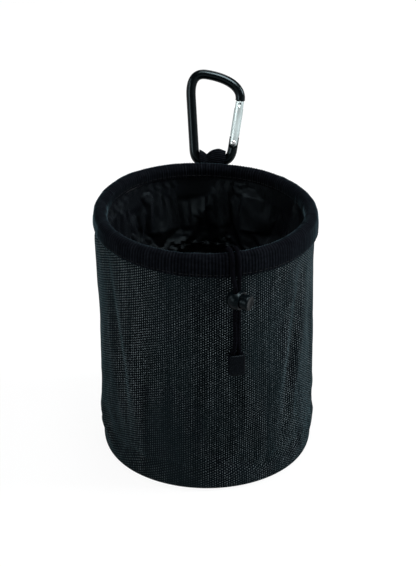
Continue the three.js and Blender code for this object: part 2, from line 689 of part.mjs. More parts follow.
piece(
  gate,
  'gate_plunger',
  pin(GATE_PLUNGER.radius, plungerLowZ, plungerLowZ + GATE_PLUNGER.length),
  FINISH.steel,
);
piece(
  gate,
  'gate_spring',
  spring('gate_spring', GATE_SPRING, GATE_SPRING_L).translate(0, 0, springLowZ),
  FINISH.steel,
);

export default bag;
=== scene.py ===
"""Dressed peg bag: woven wall, ribbed rim, gathered collar, drawcord with its lock, carabiner."""

import json
import logging
import math
import random
from collections.abc import Callable, Iterable, Sequence
from dataclasses import dataclass, field
from enum import Enum
from functools import partial

import bmesh
import bpy
from mathutils import Matrix, Vector, noise


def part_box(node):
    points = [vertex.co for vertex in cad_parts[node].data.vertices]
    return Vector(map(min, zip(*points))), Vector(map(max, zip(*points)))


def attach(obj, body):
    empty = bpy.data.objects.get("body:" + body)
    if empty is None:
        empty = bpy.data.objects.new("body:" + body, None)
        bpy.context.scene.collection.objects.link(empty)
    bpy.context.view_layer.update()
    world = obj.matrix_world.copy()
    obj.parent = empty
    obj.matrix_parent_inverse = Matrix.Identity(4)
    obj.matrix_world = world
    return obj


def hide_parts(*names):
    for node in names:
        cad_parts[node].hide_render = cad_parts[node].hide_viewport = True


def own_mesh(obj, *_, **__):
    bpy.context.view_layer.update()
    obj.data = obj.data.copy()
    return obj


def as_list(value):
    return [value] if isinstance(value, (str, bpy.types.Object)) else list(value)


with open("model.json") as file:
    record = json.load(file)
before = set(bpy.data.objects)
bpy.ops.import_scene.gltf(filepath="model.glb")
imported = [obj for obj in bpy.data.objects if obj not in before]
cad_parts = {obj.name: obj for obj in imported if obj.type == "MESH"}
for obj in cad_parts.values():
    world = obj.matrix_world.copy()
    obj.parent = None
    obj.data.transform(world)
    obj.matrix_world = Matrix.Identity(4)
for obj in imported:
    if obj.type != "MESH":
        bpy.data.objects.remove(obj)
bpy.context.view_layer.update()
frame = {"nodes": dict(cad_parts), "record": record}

MM = 0.001
FIT = 0.3 * MM
# Mesh attribute of the ribbed tapes: 1 on a rib's crest, which gets painted light, 0 in a groove, which
# gets painted shade.
PAINTED_LIGHT_ATTRIBUTE = "ridge"
BACK = math.pi
UP = Vector((0, 0, 1))
WELD = 1e-7
SHARP_OVER = math.radians(40)
SOFT_OVER = math.radians(50)
SPLINE_STEPS = 24
COIL_STEPS = 28
COIL_SIDES = 10
log = logging.getLogger("peg_bag")

Colour = tuple[float, float, float]
Triple = tuple[float, float, float]
Span = tuple[float, float]
Piece = bpy.types.Object
Line = list[Vector]
Rows = list[Line]
Outline = list[Span]
Socket = bpy.types.NodeSocket
Owner = bpy.types.Material | bpy.types.World


class Body(Enum):
    """Bodies of the frame that pieces ride."""

    BAG = "bag"
    CARABINER = "carabiner"
    GATE = "gate"
    LOCK = "cord_lock"
    BUTTON = "lock_button"


class Side(Enum):
    """Left or right as seen from the front."""

    LEFT = -1
    RIGHT = 1


def polar(radius: float, azimuth: float, height: float) -> Vector:
    """Point at an azimuth from the front (-Y) towards +X."""
    return Vector((radius * math.sin(azimuth), -radius * math.cos(azimuth), height))


def ease(low: float, high: float, value: float) -> float:
    """Smooth step from 0 at low to 1 at high."""
    share = min(1.0, max(0.0, (value - low) / (high - low)))
    return share * share * (3 - 2 * share)


def mix(a: float, b: float, share: float) -> float:
    """Value between a and b."""
    return a + (b - a) * share


def spread(low: float, high: float, steps: int) -> list[float]:
    """Even values from low to high, both included."""
    return [mix(low, high, i / steps) for i in range(steps + 1)]


def ring(count: int, start: float = 0.0) -> list[float]:
    """Even angles once round, in radians."""
    return [start + math.tau * k / count for k in range(count)]


def arc(r: float, z: float, radius: float, start: float, end: float, steps: int) -> Outline:
    """Points of an arc in a profile, between two angles in degrees."""
    turns = [math.radians(angle) for angle in spread(start, end, steps)]
    return [(r + radius * math.cos(turn), z + radius * math.sin(turn)) for turn in turns]


def rounded(low: Span, high: Span, radius: float, steps: int) -> Outline:
    """Rectangle with round corners.

    Args:
        low: its lower left corner.
        high: its upper right corner.
        radius: radius of its corners.
        steps: steps of each corner.

    Returns:
        Points once round it.
    """
    left, right = low[0] + radius, high[0] - radius
    foot, top = low[1] + radius, high[1] - radius
    result: Outline = []
    for x, y, start in ((right, foot, -90), (right, top, 0), (left, top, 90), (left, foot, 180)):
        result += arc(x, y, radius, start, start + 90, steps)
    return result


def smooth_route(points: Sequence[Vector], step: float) -> Line:
    """Centripetal spline through points, resampled evenly.

    Args:
        points: the points the spline passes through.
        step: the distance between the points of the result.

    Returns:
        Points along the spline, both ends included.
    """
    knots = [points[0] * 2 - points[1], *points, points[-1] * 2 - points[-2]]
    fine: Line = []
    for four in zip(knots, knots[1:], knots[2:], knots[3:]):
        times = [0.0]
        for p, q in zip(four, four[1:]):
            times.append(times[-1] + max(1e-9, (q - p).length ** 0.5))
        for share in spread(0, 1, SPLINE_STEPS)[:-1]:
            fine.append(spline_point(four, times, mix(times[1], times[2], share)))
    fine.append(points[-1].copy())
    return resample(fine, step)


def spline_point(knots: Sequence[Vector], times: Sequence[float], now: float) -> Vector:
    """Point of a spline of four knots at a time between the second and the third.

    Args:
        knots: the four knots.
        times: their times.
        now: the wanted time.

    Returns:
        The point.
    """
    level = list(knots)
    for order in (1, 2, 3):
        for i in range(4 - order):
            low = times[1] if order == 3 else times[i]
            high = times[2] if order == 3 else times[i + order]
            level[i] = level[i].lerp(level[i + 1], (now - low) / (high - low))
    return level[0]


def resample(points: Sequence[Vector], step: float) -> Line:
    """Points spaced evenly along a line of points, about a step apart.

    Args:
        points: the line.
        step: the wanted distance.

    Returns:
        The new points, both ends included.
    """
    far = [0.0]
    for p, q in zip(points, points[1:]):
        far.append(far[-1] + (q - p).length)
    count = max(2, round(far[-1] / step))
    result: Line = []
    at = 0
    for target in spread(0, far[-1], count):
        while at < len(far) - 2 and far[at + 1] < target:
            at += 1
        share = (target - far[at]) / max(1e-12, far[at + 1] - far[at])
        result.append(points[at].lerp(points[at + 1], min(1.0, share)))
    return result


def run_length(points: Sequence[Vector]) -> float:
    """Length of a line of points."""
    return sum((q - p).length for p, q in zip(points, points[1:]))


def skin(
    name: str, rows: Rows, closed: bool = False, tube: bool = False, capped: bool = False,
    painted_rib_light: Sequence[float] = (),
) -> Piece:
    """One mesh over rows of points.

    Args:
        name: the piece's name.
        rows: rows of equal length, in metres.
        closed: whether each row closes on itself.
        tube: whether the last row joins the first.
        capped: whether the first and the last row are closed by a face.
        painted_rib_light: painted light of the ribs at each point, from 0 in a groove's painted shade to 1
            on a crest, row after row.

    Returns:
        The new object, shaded smooth, with its normals outwards.
    """
    count = len(rows[0])
    points = [point for row in rows for point in row]
    faces: list[tuple[int, ...]] = []
    for r in range(len(rows) if tube else len(rows) - 1):
        here = r * count
        there = (r + 1) % len(rows) * count
        for c in range(count if closed else count - 1):
            d = (c + 1) % count
            faces.append((here + c, here + d, there + d, there + c))
    if capped:
        faces.append(tuple(range(count)))
        faces.append(tuple(range(len(points) - count, len(points))))
    mesh = bpy.data.meshes.new(name)
    mesh.from_pydata(points, [], faces)
    # Keeps the ribs' painted light and shade as a mesh attribute.
    if painted_rib_light:
        mesh.attributes.new(PAINTED_LIGHT_ATTRIBUTE, "FLOAT", "POINT").data.foreach_set("value", painted_rib_light)
    return to_piece(mesh)


def to_piece(mesh: bpy.types.Mesh, sharp: float = SHARP_OVER) -> Piece:
    """Closes poles, turns normals outwards, shades smooth up to an angle and makes an object.

    Args:
        mesh: the raw mesh.
        sharp: angle over which an edge stays sharp.

    Returns:
        The new object.
    """
    work = bmesh.new()
    work.from_mesh(mesh)
    bmesh.ops.remove_doubles(work, verts=work.verts, dist=WELD)
    bmesh.ops.recalc_face_normals(work, faces=work.faces)
    work.to_mesh(mesh)
    work.free()
    mesh.shade_smooth()
    mesh.set_sharp_from_angle(angle=sharp)
    piece = bpy.data.objects.new(mesh.name, mesh)
    bpy.context.scene.collection.objects.link(piece)
    return piece


def frames(points: Sequence[Vector], up: Vector) -> list[tuple[Vector, Vector]]:
    """Two directions across a line at each point, carried along it without twist.

    Args:
        points: the line.
        up: a direction across its start.

    Returns:
        The two directions at each point.
    """
    result: list[tuple[Vector, Vector]] = []
    side = up
    for i, _ in enumerate(points):
        along = (points[min(i + 1, len(points) - 1)] - points[max(i - 1, 0)]).normalized()
        side = (side - along * side.dot(along)).normalized()
        result.append((side, along.cross(side)))
    return result


def sweep(
    name: str, points: Sequence[Vector], sides: int, radius: Callable[[float, float], float], up: Vector
) -> Piece:
    """Round tube along a line of points.

    Args:
        name: the piece's name.
        points: the tube's middle.
        sides: points round the tube.
        radius: radius for a distance along the tube and an angle round it.
        up: a direction across the line's start.

    Returns:
        The closed tube.
    """
    rows: Rows = []
    far = 0.0
    before = points[0]
    for point, (side, other) in zip(points, frames(points, up)):
        far += (point - before).length
        before = point
        row = [point + (side * math.cos(t) + other * math.sin(t)) * radius(far, t) for t in ring(sides)]
        rows.append(row)
    return skin(name, rows, closed=True, capped=True)


def lathe(name: str, profile: Outline, place: Matrix, sides: int) -> Piece:
    """Solid turned about the Z axis of a place, from a profile that starts and ends on it.

    Args:
        name: the piece's name.
        profile: radii and heights, from axis to axis.
        place: the frame it turns in.
        sides: points round it.

    Returns:
        The new piece.
    """
    rows: Rows = []
    for r, z in profile:
        rows.append([place @ Vector((r * math.cos(t), r * math.sin(t), z)) for t in ring(sides)])
    return skin(name, rows, closed=True)


def coil(name: str, place: Matrix, radius: float, wire: float, turns: int, span: Span) -> Piece:
    """Coil spring along the Z axis of a place.

    Args:
        name: the piece's name.
        place: the spring's frame.
        radius: radius of the wire's middle.
        wire: the wire's thickness.
        turns: how often it winds.
        span: heights of its two ends.

    Returns:
        The new piece.
    """
    points: Line = []
    for share in spread(0, 1, COIL_STEPS * turns):
        turn = math.tau * turns * share
        z = mix(span[0] + wire / 2, span[1] - wire / 2, share)
        points.append(place @ Vector((radius * math.cos(turn), radius * math.sin(turn), z)))
    return sweep(name, points, COIL_SIDES, lambda far, turn: wire / 2, place.to_3x3() @ UP)


def prism(outline: Sequence[Span], low: float, high: float, place: Matrix) -> Piece:
    """Upright cutter over an outline in a place, between two heights."""
    rows = [[place @ Vector((x, y, z)) for x, y in outline] for z in (low, high)]
    return skin("tool", rows, closed=True, capped=True)


def box_tool(low: Triple, high: Triple, place: Matrix) -> Piece:
    """Plain box between two corners of a place, for cutting."""
    outline = ((low[0], low[1]), (high[0], low[1]), (high[0], high[1]), (low[0], high[1]))
    return prism(outline, low[2], high[2], place)


def carve(piece: Piece, tools: Iterable[Piece], join: bool = False) -> None:
    """Cuts tools out of a piece, or joins them to it, and drops the tools.

    Args:
        piece: what is cut.
        tools: the cutters.
        join: whether they are joined on instead.
    """
    for tool in tools:
        change = piece.modifiers.new("carve", "BOOLEAN")
        change.operation = "UNION" if join else "DIFFERENCE"
        change.solver = "EXACT"
        change.object = tool
        bake(piece)
        old = tool.data
        bpy.data.objects.remove(tool)
        bpy.data.meshes.remove(old)


def soften(piece: Piece, width: float) -> None:
    """Rounds the sharp edges of a piece.

    Args:
        piece: what is rounded.
        width: width of the rounding.
    """
    change = piece.modifiers.new("soften", "BEVEL")
    change.width = width
    change.segments = 2
    change.limit_method = "ANGLE"
    change.angle_limit = SOFT_OVER
    change.use_clamp_overlap = True
    bake(piece)


def bake(piece: Piece) -> None:
    """Puts a piece's modifiers into its mesh.

    Args:
        piece: the piece with modifiers.
    """
    view = bpy.context.evaluated_depsgraph_get()
    made = bpy.data.meshes.new_from_object(piece.evaluated_get(view))
    piece.modifiers.clear()
    old = piece.data
    name = old.name
    piece.data = made
    bpy.data.meshes.remove(old)
    made.name = name
    made.shade_smooth()
    made.set_sharp_from_angle(angle=SHARP_OVER)


@dataclass(frozen=True)
class Cloth:
    """How a cloth behaves while it settles."""

    slack: float
    bending: float
    frames: int
    quality: int = 6
    mass: float = 0.01
    tension: float = 12
    shear: float = 6
    air: float = 3


def drape(rows: Rows, kind: Cloth) -> Rows:
    """Lets a ring of slack cloth settle between its first and its last row, which are sewn.

    Args:
        rows: the cloth before it settles, row by row.
        kind: how it behaves.

    Returns:
        The settled rows.
    """
    scene = bpy.context.scene
    count = len(rows[0])
    total = count * len(rows)
    piece = skin("draped", rows, closed=True)
    sewn = piece.vertex_groups.new(name="sewn")
    sewn.add([*range(count), *range(total - count, total)], 1.0, "REPLACE")
    change = piece.modifiers.new("drape", "CLOTH")
    cloth = change.settings
    cloth.vertex_group_mass = sewn.name
    cloth.quality = kind.quality
    cloth.mass = kind.mass
    cloth.tension_stiffness = cloth.compression_stiffness = kind.tension
    cloth.shear_stiffness = kind.shear
    cloth.bending_stiffness = kind.bending
    cloth.air_damping = kind.air
    cloth.shrink_min = -kind.slack
    change.collision_settings.use_collision = False
    change.point_cache.frame_end = kind.frames
    for now in range(1, kind.frames + 1):
        scene.frame_set(now)
    settled = piece.evaluated_get(bpy.context.evaluated_depsgraph_get()).data
    points = [vertex.co.copy() for vertex in settled.vertices]
    scene.frame_set(1)
    old = piece.data
    bpy.data.objects.remove(piece)
    bpy.data.meshes.remove(old)
    return [points[k * count:(k + 1) * count] for k in range(len(rows))]


@dataclass
class Graph:
    """Node tree of one material or world, with short ways to add to it."""

    owner: Owner
    shader: bpy.types.Node
    output: Socket

    @classmethod
    def start(
        cls, owner: Owner, shader: str = "Principled BSDF", output: str = "Material Output"
    ) -> "Graph":
        """Starts the nodes of a new material or world.

        Args:
            owner: the material or world.
            shader: its first shader.
            output: its output.

        Returns:
            The node tree.
        """
        owner.use_nodes = True
        nodes = owner.node_tree.nodes
        return cls(owner, nodes[shader], nodes[output].inputs[0])

    @property
    def tree(self) -> bpy.types.NodeTree:
        """The tree that nodes are added to."""
        return self.owner.node_tree

    def feed(self, socket: Socket, value: object) -> None:
        """Links a socket to another, or sets its value.

        Args:
            socket: the input.
            value: a socket to link or a value to set.
        """
        if isinstance(value, Socket):
            self.tree.links.new(value, socket)
        else:
            socket.default_value = value

    def set(self, **inputs: object) -> None:
        """Sets inputs of the shader, named with underscores for spaces."""
        for name, value in inputs.items():
            self.feed(self.shader.inputs[name.replace("_", " ")], value)

    def node(self, kind: str, **inputs: object) -> bpy.types.Node:
        """Adds a node and sets its inputs, named with underscores for spaces.

        Args:
            kind: the node's type after its prefix.
            inputs: sockets or values by input.

        Returns:
            The new node.
        """
        made = self.tree.nodes.new(f"ShaderNode{kind}")
        for name, value in inputs.items():
            self.feed(made.inputs[name.replace("_", " ")], value)
        return made

    def math(self, operation: str, *values: object) -> Socket:
        """Adds a math node.

        Args:
            operation: what it works out.
            values: sockets or values, in order.

        Returns:
            Its result.
        """
        made = self.tree.nodes.new("ShaderNodeMath")
        made.operation = operation
        for socket, value in zip(made.inputs, values):
            self.feed(socket, value)
        return made.outputs[0]

    def step(self, value: object, edge: Span, levels: Span = (0.0, 1.0)) -> Socket:
        """Adds a smooth step between two levels.

        Args:
            value: what is stepped.
            edge: where the step starts and ends.
            levels: the level at its start and at its end.

        Returns:
            Its result.
        """
        limits = {"From_Min": edge[0], "From_Max": edge[1], "To_Min": levels[0], "To_Max": levels[1]}
        made = self.node("MapRange", Value=value, **limits)
        made.interpolation_type = "SMOOTHSTEP"
        return made.outputs["Result"]

    def place(self) -> Socket:
        """Object coordinates."""
        return self.node("TexCoord").outputs["Object"]

    def axes(self, vector: Socket) -> tuple[Socket, ...]:
        """The three parts of a vector."""
        return tuple(self.node("SeparateXYZ", Vector=vector).outputs)

    def noise(self, scale: float, stretch: Triple = (1, 1, 1), detail: float = 2) -> Socket:
        """Noise in object coordinates, stretched along its axes."""
        spot = self.node("Mapping", Vector=self.place(), Scale=stretch).outputs[0]
        return self.node("TexNoise", Vector=spot, Scale=scale, Detail=detail).outputs[0]

    def blend(self, share: object, a: object, b: object) -> Socket:
        """Colour between two colours or sockets.

        Args:
            share: share of the second colour.
            a: the first colour.
            b: the second colour.

        Returns:
            The colour.
        """
        made = self.tree.nodes.new("ShaderNodeMix")
        made.data_type = "RGBA"
        self.feed(made.inputs["Factor"], share)
        for socket, colour in ((made.inputs[6], a), (made.inputs[7], b)):
            self.feed(socket, (*colour, 1) if isinstance(colour, tuple) else colour)
        return made.outputs[2]

    def bump(self, height: object, distance: float, strength: float) -> None:
        """Relief of the surface, with its depth in metres."""
        made = self.node("Bump", Height=height, Distance=distance, Strength=strength)
        self.set(Normal=made.outputs[0])

    def sheen(self, weight: float, tint: Colour, roughness: float) -> None:
        """Sheen of the fibres on the surface."""
        self.set(Sheen_Weight=weight, Sheen_Tint=(*tint, 1), Sheen_Roughness=roughness)

    def seen_ray(self) -> Socket:
        """1 for a ray of the camera, of a mirror or through glass, else 0.

        Returns:
            The socket that says so.
        """
        path = self.node("LightPath").outputs
        mirrored = self.math("MAXIMUM", path["Is Camera Ray"], path["Is Glossy Ray"])
        return self.math("MAXIMUM", mirrored, path["Is Transmission Ray"])

    def mix_out(self, share: Socket, first: Socket, second: Socket) -> None:
        """Ends the tree in a mix of two shaders.

        Args:
            share: share of the second shader.
            first: the first shader.
            second: the second shader.
        """
        both = self.node("MixShader")
        for socket, value in zip(both.inputs, (share, first, second)):
            self.feed(socket, value)
        self.feed(self.output, both.outputs[0])


@dataclass(frozen=True)
class Finish:
    """What every finish has: a name, a colour, a roughness, how it mirrors and how uneven it is."""

    name: str
    colour: Colour
    roughness: float
    mirror: float = 0.5
    gloss: Colour = (1, 1, 1)
    shade_range: Span = (0.85, 1.2)
    shade_scale: float = 300

    def material(self) -> bpy.types.Material:
        """The finish's material, made at first use.

        Returns:
            The material.
        """
        made = bpy.data.materials.get(self.name)
        if made:
            return made
        graph = Graph.start(bpy.data.materials.new(self.name))
        graph.set(Base_Color=(*self.colour, 1), Roughness=self.roughness)
        graph.set(Specular_IOR_Level=self.mirror, Specular_Tint=(*self.gloss, 1))
        self.paint(graph)
        return graph.owner

    def paint(self, graph: Graph) -> None:
        """Adds what sets a kind of finish apart."""
        raise NotImplementedError

    def shade(self, graph: Graph) -> Socket:
        """The finish's colour, uneven between two shares of itself.

        Args:
            graph: the node tree.

        Returns:
            The uneven colour.
        """
        dim, lit = (tuple(part * share for part in self.colour) for share in self.shade_range)
        return graph.blend(graph.noise(self.shade_scale), dim, lit)


@dataclass(frozen=True)
class WovenCloth(Finish):
    """Two-tone weave round the bag: light specks in stepped columns on a dark ground."""

    speck: Colour = (0.1, 0.12, 0.127)
    veil: Colour = (0.0042, 0.0072, 0.0085)
    column: float = 1.515 * MM
    row: float = 1.78 * MM
    step: float = -0.357
    girth_r: float = 73 * MM
    speck_fall: Span = (9.0, 8.0)
    speck_edge: Span = (0.1, 1.0)
    cell_gain: float = 0.6
    thread_gain: float = 0.4
    least_speck: float = 0.2
    cloud_scale: float = 30
    cloud_stretch: Triple = (1, 1, 0.45)
    cloud_edge: Span = (0.32, 0.68)
    cloud_gain: float = 0.74
    least_cloud: float = 0.33
    streak_scale: float = 150
    streak_stretch: Triple = (1, 1, 0.08)
    streak_edge: Span = (0.35, 0.65)
    streak_range: Span = (0.6, 1.1)
    # Specks brighter towards the top of the wall: painted light that lifts the shade under the binding.
    painted_light_heights: Span = (30 * MM, 160 * MM)
    painted_light_range: Span = (0.86, 1.3)
    sheen: float = 0.095
    sheen_colour: Colour = (0.5, 0.88, 1.0)
    relief: float = 0.3 * MM

    def weave(self, graph: Graph) -> tuple[Socket, ...]:
        """The cells of the weave, from the azimuth and height of each point.

        Args:
            graph: the node tree.

        Returns:
            A point's squared distance from its cell's middle, across and up, and the cell's lightness.
        """
        x, y, z = graph.axes(graph.place())
        azimuth = graph.math("ARCTAN2", x, graph.math("MULTIPLY", y, -1.0))
        across = graph.math("MULTIPLY", azimuth, self.girth_r / self.column)
        column = graph.math("FLOOR", across)
        stagger = graph.math("MULTIPLY", column, self.step)
        up = graph.math("ADD", graph.math("DIVIDE", z, self.row), stagger)
        in_column = graph.math("SUBTRACT", graph.math("FRACT", across), 0.5)
        in_row = graph.math("SUBTRACT", graph.math("FRACT", up), 0.5)
        wide = graph.math("MULTIPLY", in_column, in_column)
        tall = graph.math("MULTIPLY", in_row, in_row)
        cell = graph.node("CombineXYZ", X=column, Y=graph.math("FLOOR", up)).outputs[0]
        chance = graph.node("TexWhiteNoise", Vector=cell).outputs["Value"]
        strip = graph.node("CombineXYZ", X=column).outputs[0]
        thread = graph.node("TexWhiteNoise", Vector=strip).outputs["Value"]
        steady = graph.math("MULTIPLY_ADD", thread, self.thread_gain, self.least_speck)
        return wide, tall, graph.math("MULTIPLY_ADD", chance, self.cell_gain, steady)

    def paint(self, graph: Graph) -> None:
        """Adds the specks with their clouds and streaks, painted light that brightens them towards the top,
        the sheen and the relief of the weave.

        Args:
            graph: the node tree.
        """
        wide, tall, uneven = self.weave(graph)
        wide_fall, tall_fall = self.speck_fall
        sunk = graph.math("MULTIPLY", tall, tall_fall)
        far = graph.math("ADD", graph.math("MULTIPLY", wide, wide_fall), sunk)
        speck = graph.step(far, self.speck_edge, (1.0, 0.0))
        cloud = graph.step(graph.noise(self.cloud_scale, self.cloud_stretch), self.cloud_edge)
        lines = graph.noise(self.streak_scale, self.streak_stretch)
        streak = graph.step(lines, self.streak_edge, self.streak_range)
        # Painted light: specks dimmer low on the wall and brighter towards the top, lifting the shade under
        # the binding.
        height = graph.step(graph.axes(graph.place())[2], self.painted_light_heights, self.painted_light_range)
        lit = graph.math("MULTIPLY_ADD", cloud, self.cloud_gain, self.least_cloud)
        strength = graph.math("MULTIPLY", graph.math("MULTIPLY", lit, height), streak)
        share = graph.math("MULTIPLY", graph.math("MULTIPLY", speck, uneven), strength)
        ground = graph.blend(cloud, self.veil, self.colour)
        graph.set(Base_Color=graph.blend(share, ground, self.speck))
        graph.sheen(self.sheen, self.sheen_colour, 0.25)
        rib = graph.math("MULTIPLY", graph.math("ADD", wide, graph.math("MULTIPLY", tall, 0.6)), -2.0)
        graph.bump(graph.math("ADD", rib, graph.math("MULTIPLY", speck, 0.7)), self.relief, 0.7)


@dataclass(frozen=True)
class PlainCloth(Finish):
    """Fine plain-woven cloth: nylon, coated backing, cord or thread."""

    shade_range: Span = (0.7, 1.35)
    shade_scale: float = 160
    thread: float = 0.42 * MM
    relief: float = 0.06 * MM
    sheen: float = 0.003
    sheen_colour: Colour = (0.7, 0.85, 1.0)

    def paint(self, graph: Graph) -> None:
        """Adds a fine over-and-under relief and a faint sheen.

        Args:
            graph: the node tree.
        """
        graph.set(Base_Color=self.shade(graph))
        graph.sheen(self.sheen, self.sheen_colour, 0.4)
        x, y, z = graph.axes(graph.place())
        pace = math.tau / self.thread
        flat = graph.math("SINE", graph.math("MULTIPLY", graph.math("ADD", x, y), pace))
        tall = graph.math("SINE", graph.math("MULTIPLY", graph.math("SUBTRACT", z, x), pace))
        graph.bump(graph.math("MULTIPLY", flat, tall), self.relief, 0.6)


@dataclass(frozen=True)
class RibbedTape(PlainCloth):
    """Ribbed tape with painted shade in the grooves between its ribs and painted light on their crests."""

    # Colour of the crests, lighter than the grooves' colour: painted light on the crests.
    painted_crest_light: Colour = (0.008, 0.0093, 0.0122)
    wear_scale: float = 420
    wear_edge: Span = (0.25, 0.75)
    wear_range: Span = (0.55, 1.1)
    fibre_scale: float = 3200

    def paint(self, graph: Graph) -> None:
        """Adds painted shade in the ribs' grooves and painted light on their crests, from an attribute of
        the mesh.

        Args:
            graph: the node tree.
        """
        ridge = graph.node("Attribute")
        ridge.attribute_name = PAINTED_LIGHT_ATTRIBUTE
        worn = graph.step(graph.noise(self.wear_scale), self.wear_edge, self.wear_range)
        share = graph.math("MULTIPLY", ridge.outputs["Fac"], worn)
        # Painted shade in the grooves and painted light on the crests, made uneven by the noise.
        graph.set(Base_Color=graph.blend(share, self.colour, self.painted_crest_light))
        graph.sheen(self.sheen, self.sheen_colour, 0.25)
        graph.bump(graph.noise(self.fibre_scale, detail=3), self.relief, 0.5)


@dataclass(frozen=True)
class Moulded(Finish):
    """Moulded plastic with a fine grain and a slightly uneven gloss."""

    grain: float = 0.02 * MM
    grain_scale: float = 5200
    cloud_scale: float = 140
    cloud_edge: Span = (0.2, 0.8)
    gloss_range: Span = (0.85, 1.2)

    def paint(self, graph: Graph) -> None:
        """Adds the grain and the uneven gloss.

        Args:
            graph: the node tree.
        """
        graph.set(Base_Color=self.shade(graph))
        low, high = (self.roughness * share for share in self.gloss_range)
        graph.set(Roughness=graph.step(graph.noise(self.cloud_scale), self.cloud_edge, (low, high)))
        graph.bump(graph.noise(self.grain_scale, detail=3), self.grain, 0.5)


@dataclass(frozen=True)
class Metal(Finish):
    """Metal with fine drawn lines and an uneven gloss."""

    shade_range: Span = (0.9, 1.05)
    shade_scale: float = 90
    metallic: float = 1.0
    lines: Triple = (900, 900, 60)
    line_edge: Span = (0.3, 0.7)
    gloss_range: Span = (0.8, 1.25)
    scratch: float = 0.006 * MM

    def paint(self, graph: Graph) -> None:
        """Adds the drawn lines and the gloss.

        Args:
            graph: the node tree.
        """
        graph.set(Base_Color=self.shade(graph), Metallic=self.metallic)
        lines = graph.noise(1.0, self.lines, 4)
        low, high = (self.roughness * share for share in self.gloss_range)
        graph.set(Roughness=graph.step(lines, self.line_edge, (low, high)))
        graph.bump(lines, self.scratch, 0.6)


COOL = (0.7, 0.93, 1.0)
WALL_CLOTH = WovenCloth("two_tone_weave", (0.0012, 0.0021, 0.0027), 0.8, 0.0)
WALL_BACKING = PlainCloth("coated_backing", (0.006, 0.0065, 0.0075), 0.6, 0.08)
# The rib tape's colour is the painted shade in its grooves; its crests get painted light.
RIB_TAPE = RibbedTape(
    "rib_tape_weave", (0.0001, 0.0002, 0.0004), 0.85, 0.0, sheen=0.17, sheen_colour=(0.5, 0.85, 1.0)
)
NYLON = PlainCloth("plain_nylon", (0.0017, 0.0019, 0.003), 0.48, 0.06, COOL, thread=0.36 * MM)
CORD = PlainCloth("braided_cord", (0.0022, 0.0023, 0.0032), 0.75, 0.0, thread=0.3 * MM)
THREAD = PlainCloth("sewing_thread", (0.0028, 0.0032, 0.004), 0.6, 0.05, thread=0.25 * MM)
LOCK_PLASTIC = Moulded("half_gloss_plastic", (0.0009, 0.0019, 0.0026), 0.28, 0.045, COOL)
END_PLASTIC = Moulded("satin_plastic", (0.0012, 0.0015, 0.0026), 0.4, 0.03, COOL)
FOAM = Moulded("closed_cell_foam", (0.03, 0.03, 0.032), 0.95, 0.2, grain=0.15 * MM)
BOARD = Moulded("stiffening_board", (0.02, 0.02, 0.022), 0.6, 0.4)
HOOP_PLASTIC = Moulded("hoop_plastic", (0.01, 0.01, 0.01), 0.45, 0.5)
BLACK_ROD = Metal("black_anodised", (0.0005, 0.0011, 0.0015), 0.2, 0.11, COOL, metallic=0.0, scratch=0.0)
BRIGHT_GATE = Metal(
    "satin_bright_metal", (0.33, 0.38, 0.38), 0.45, lines=(40, 40, 40), scratch=0.0
)
STEEL = Metal("plain_steel", (0.5, 0.51, 0.52), 0.28)


def dress(piece: Piece, finish: Finish, slot: str, body: Body, *nodes: str) -> Piece:
    """Gives a piece its finish, puts it on its body and in the place of CAD solids.

    Args:
        piece: the finished mesh.
        finish: what it is made of.
        slot: the record's material slot, not used.
        body: the body it rides.
        nodes: the CAD nodes it stands for.

    Returns:
        The piece.
    """
    if not piece.data.materials:
        piece.data.materials.append(finish.material())
    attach(piece, body.value)
    if nodes:
        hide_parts(*nodes)
    return piece


def finish_solid(node: str, finish: Finish) -> None:
    """Gives a CAD solid that stays in the scene its finish.

    Args:
        node: the solid's node.
        finish: what it is made of.
    """
    materials = frame["nodes"][node].data.materials
    materials.clear()
    materials.append(finish.material())


def threads(name: str, runs: Rows, radius: float = 0.17 * MM) -> Piece:
    """Stitches as one mesh: a short round thread along each run of points.

    Args:
        name: the piece's name.
        runs: points of each stitch.
        radius: radius of the thread.

    Returns:
        The new piece.
    """
    sides = 6
    points: Line = []
    faces: list[tuple[int, ...]] = []
    for run in runs:
        start = len(points)
        for i, (point, (side, other)) in enumerate(zip(run, frames(run, Vector((0.31, 0.52, 0.79))))):
            slim = 0.55 if i in (0, len(run) - 1) else 1.0
            for turn in ring(sides):
                points.append(point + (side * math.cos(turn) + other * math.sin(turn)) * radius * slim)
        for i in range(len(run) - 1):
            for k in range(sides):
                a = start + i * sides
                b = (k + 1) % sides
                faces.append((a + k, a + b, a + sides + b, a + sides + k))
        last = start + (len(run) - 1) * sides
        faces.append(tuple(range(start, start + sides)))
        faces.append(tuple(range(last, last + sides)))
    mesh = bpy.data.meshes.new(name)
    mesh.from_pydata(points, [], faces)
    return to_piece(mesh, math.pi)


def stitch_runs(
    place: Callable[[float, float], Vector], start: float, end: float, length: float, gap: float
) -> Rows:
    """Runs of a straight row of stitches.

    Args:
        place: point for a distance along the row and a height over the cloth.
        start: where the row starts.
        end: where it ends.
        length: length of a stitch.
        gap: cloth between two stitches.

    Returns:
        Five points for each stitch, sunk at both ends.
    """
    count = max(1, round((end - start) / (length + gap)))
    pitch = (end - start) / count
    sink = 0.25 * MM
    lifts = ((0.0, -sink), (0.12, 0.3 * sink), (0.5, 0.6 * sink), (0.88, 0.3 * sink), (1.0, -sink))
    runs: Rows = []
    for i in range(count):
        low = start + i * pitch + gap / 2
        high = start + (i + 1) * pitch - gap / 2
        runs.append([place(mix(low, high, share), lift) for share, lift in lifts])
    return runs


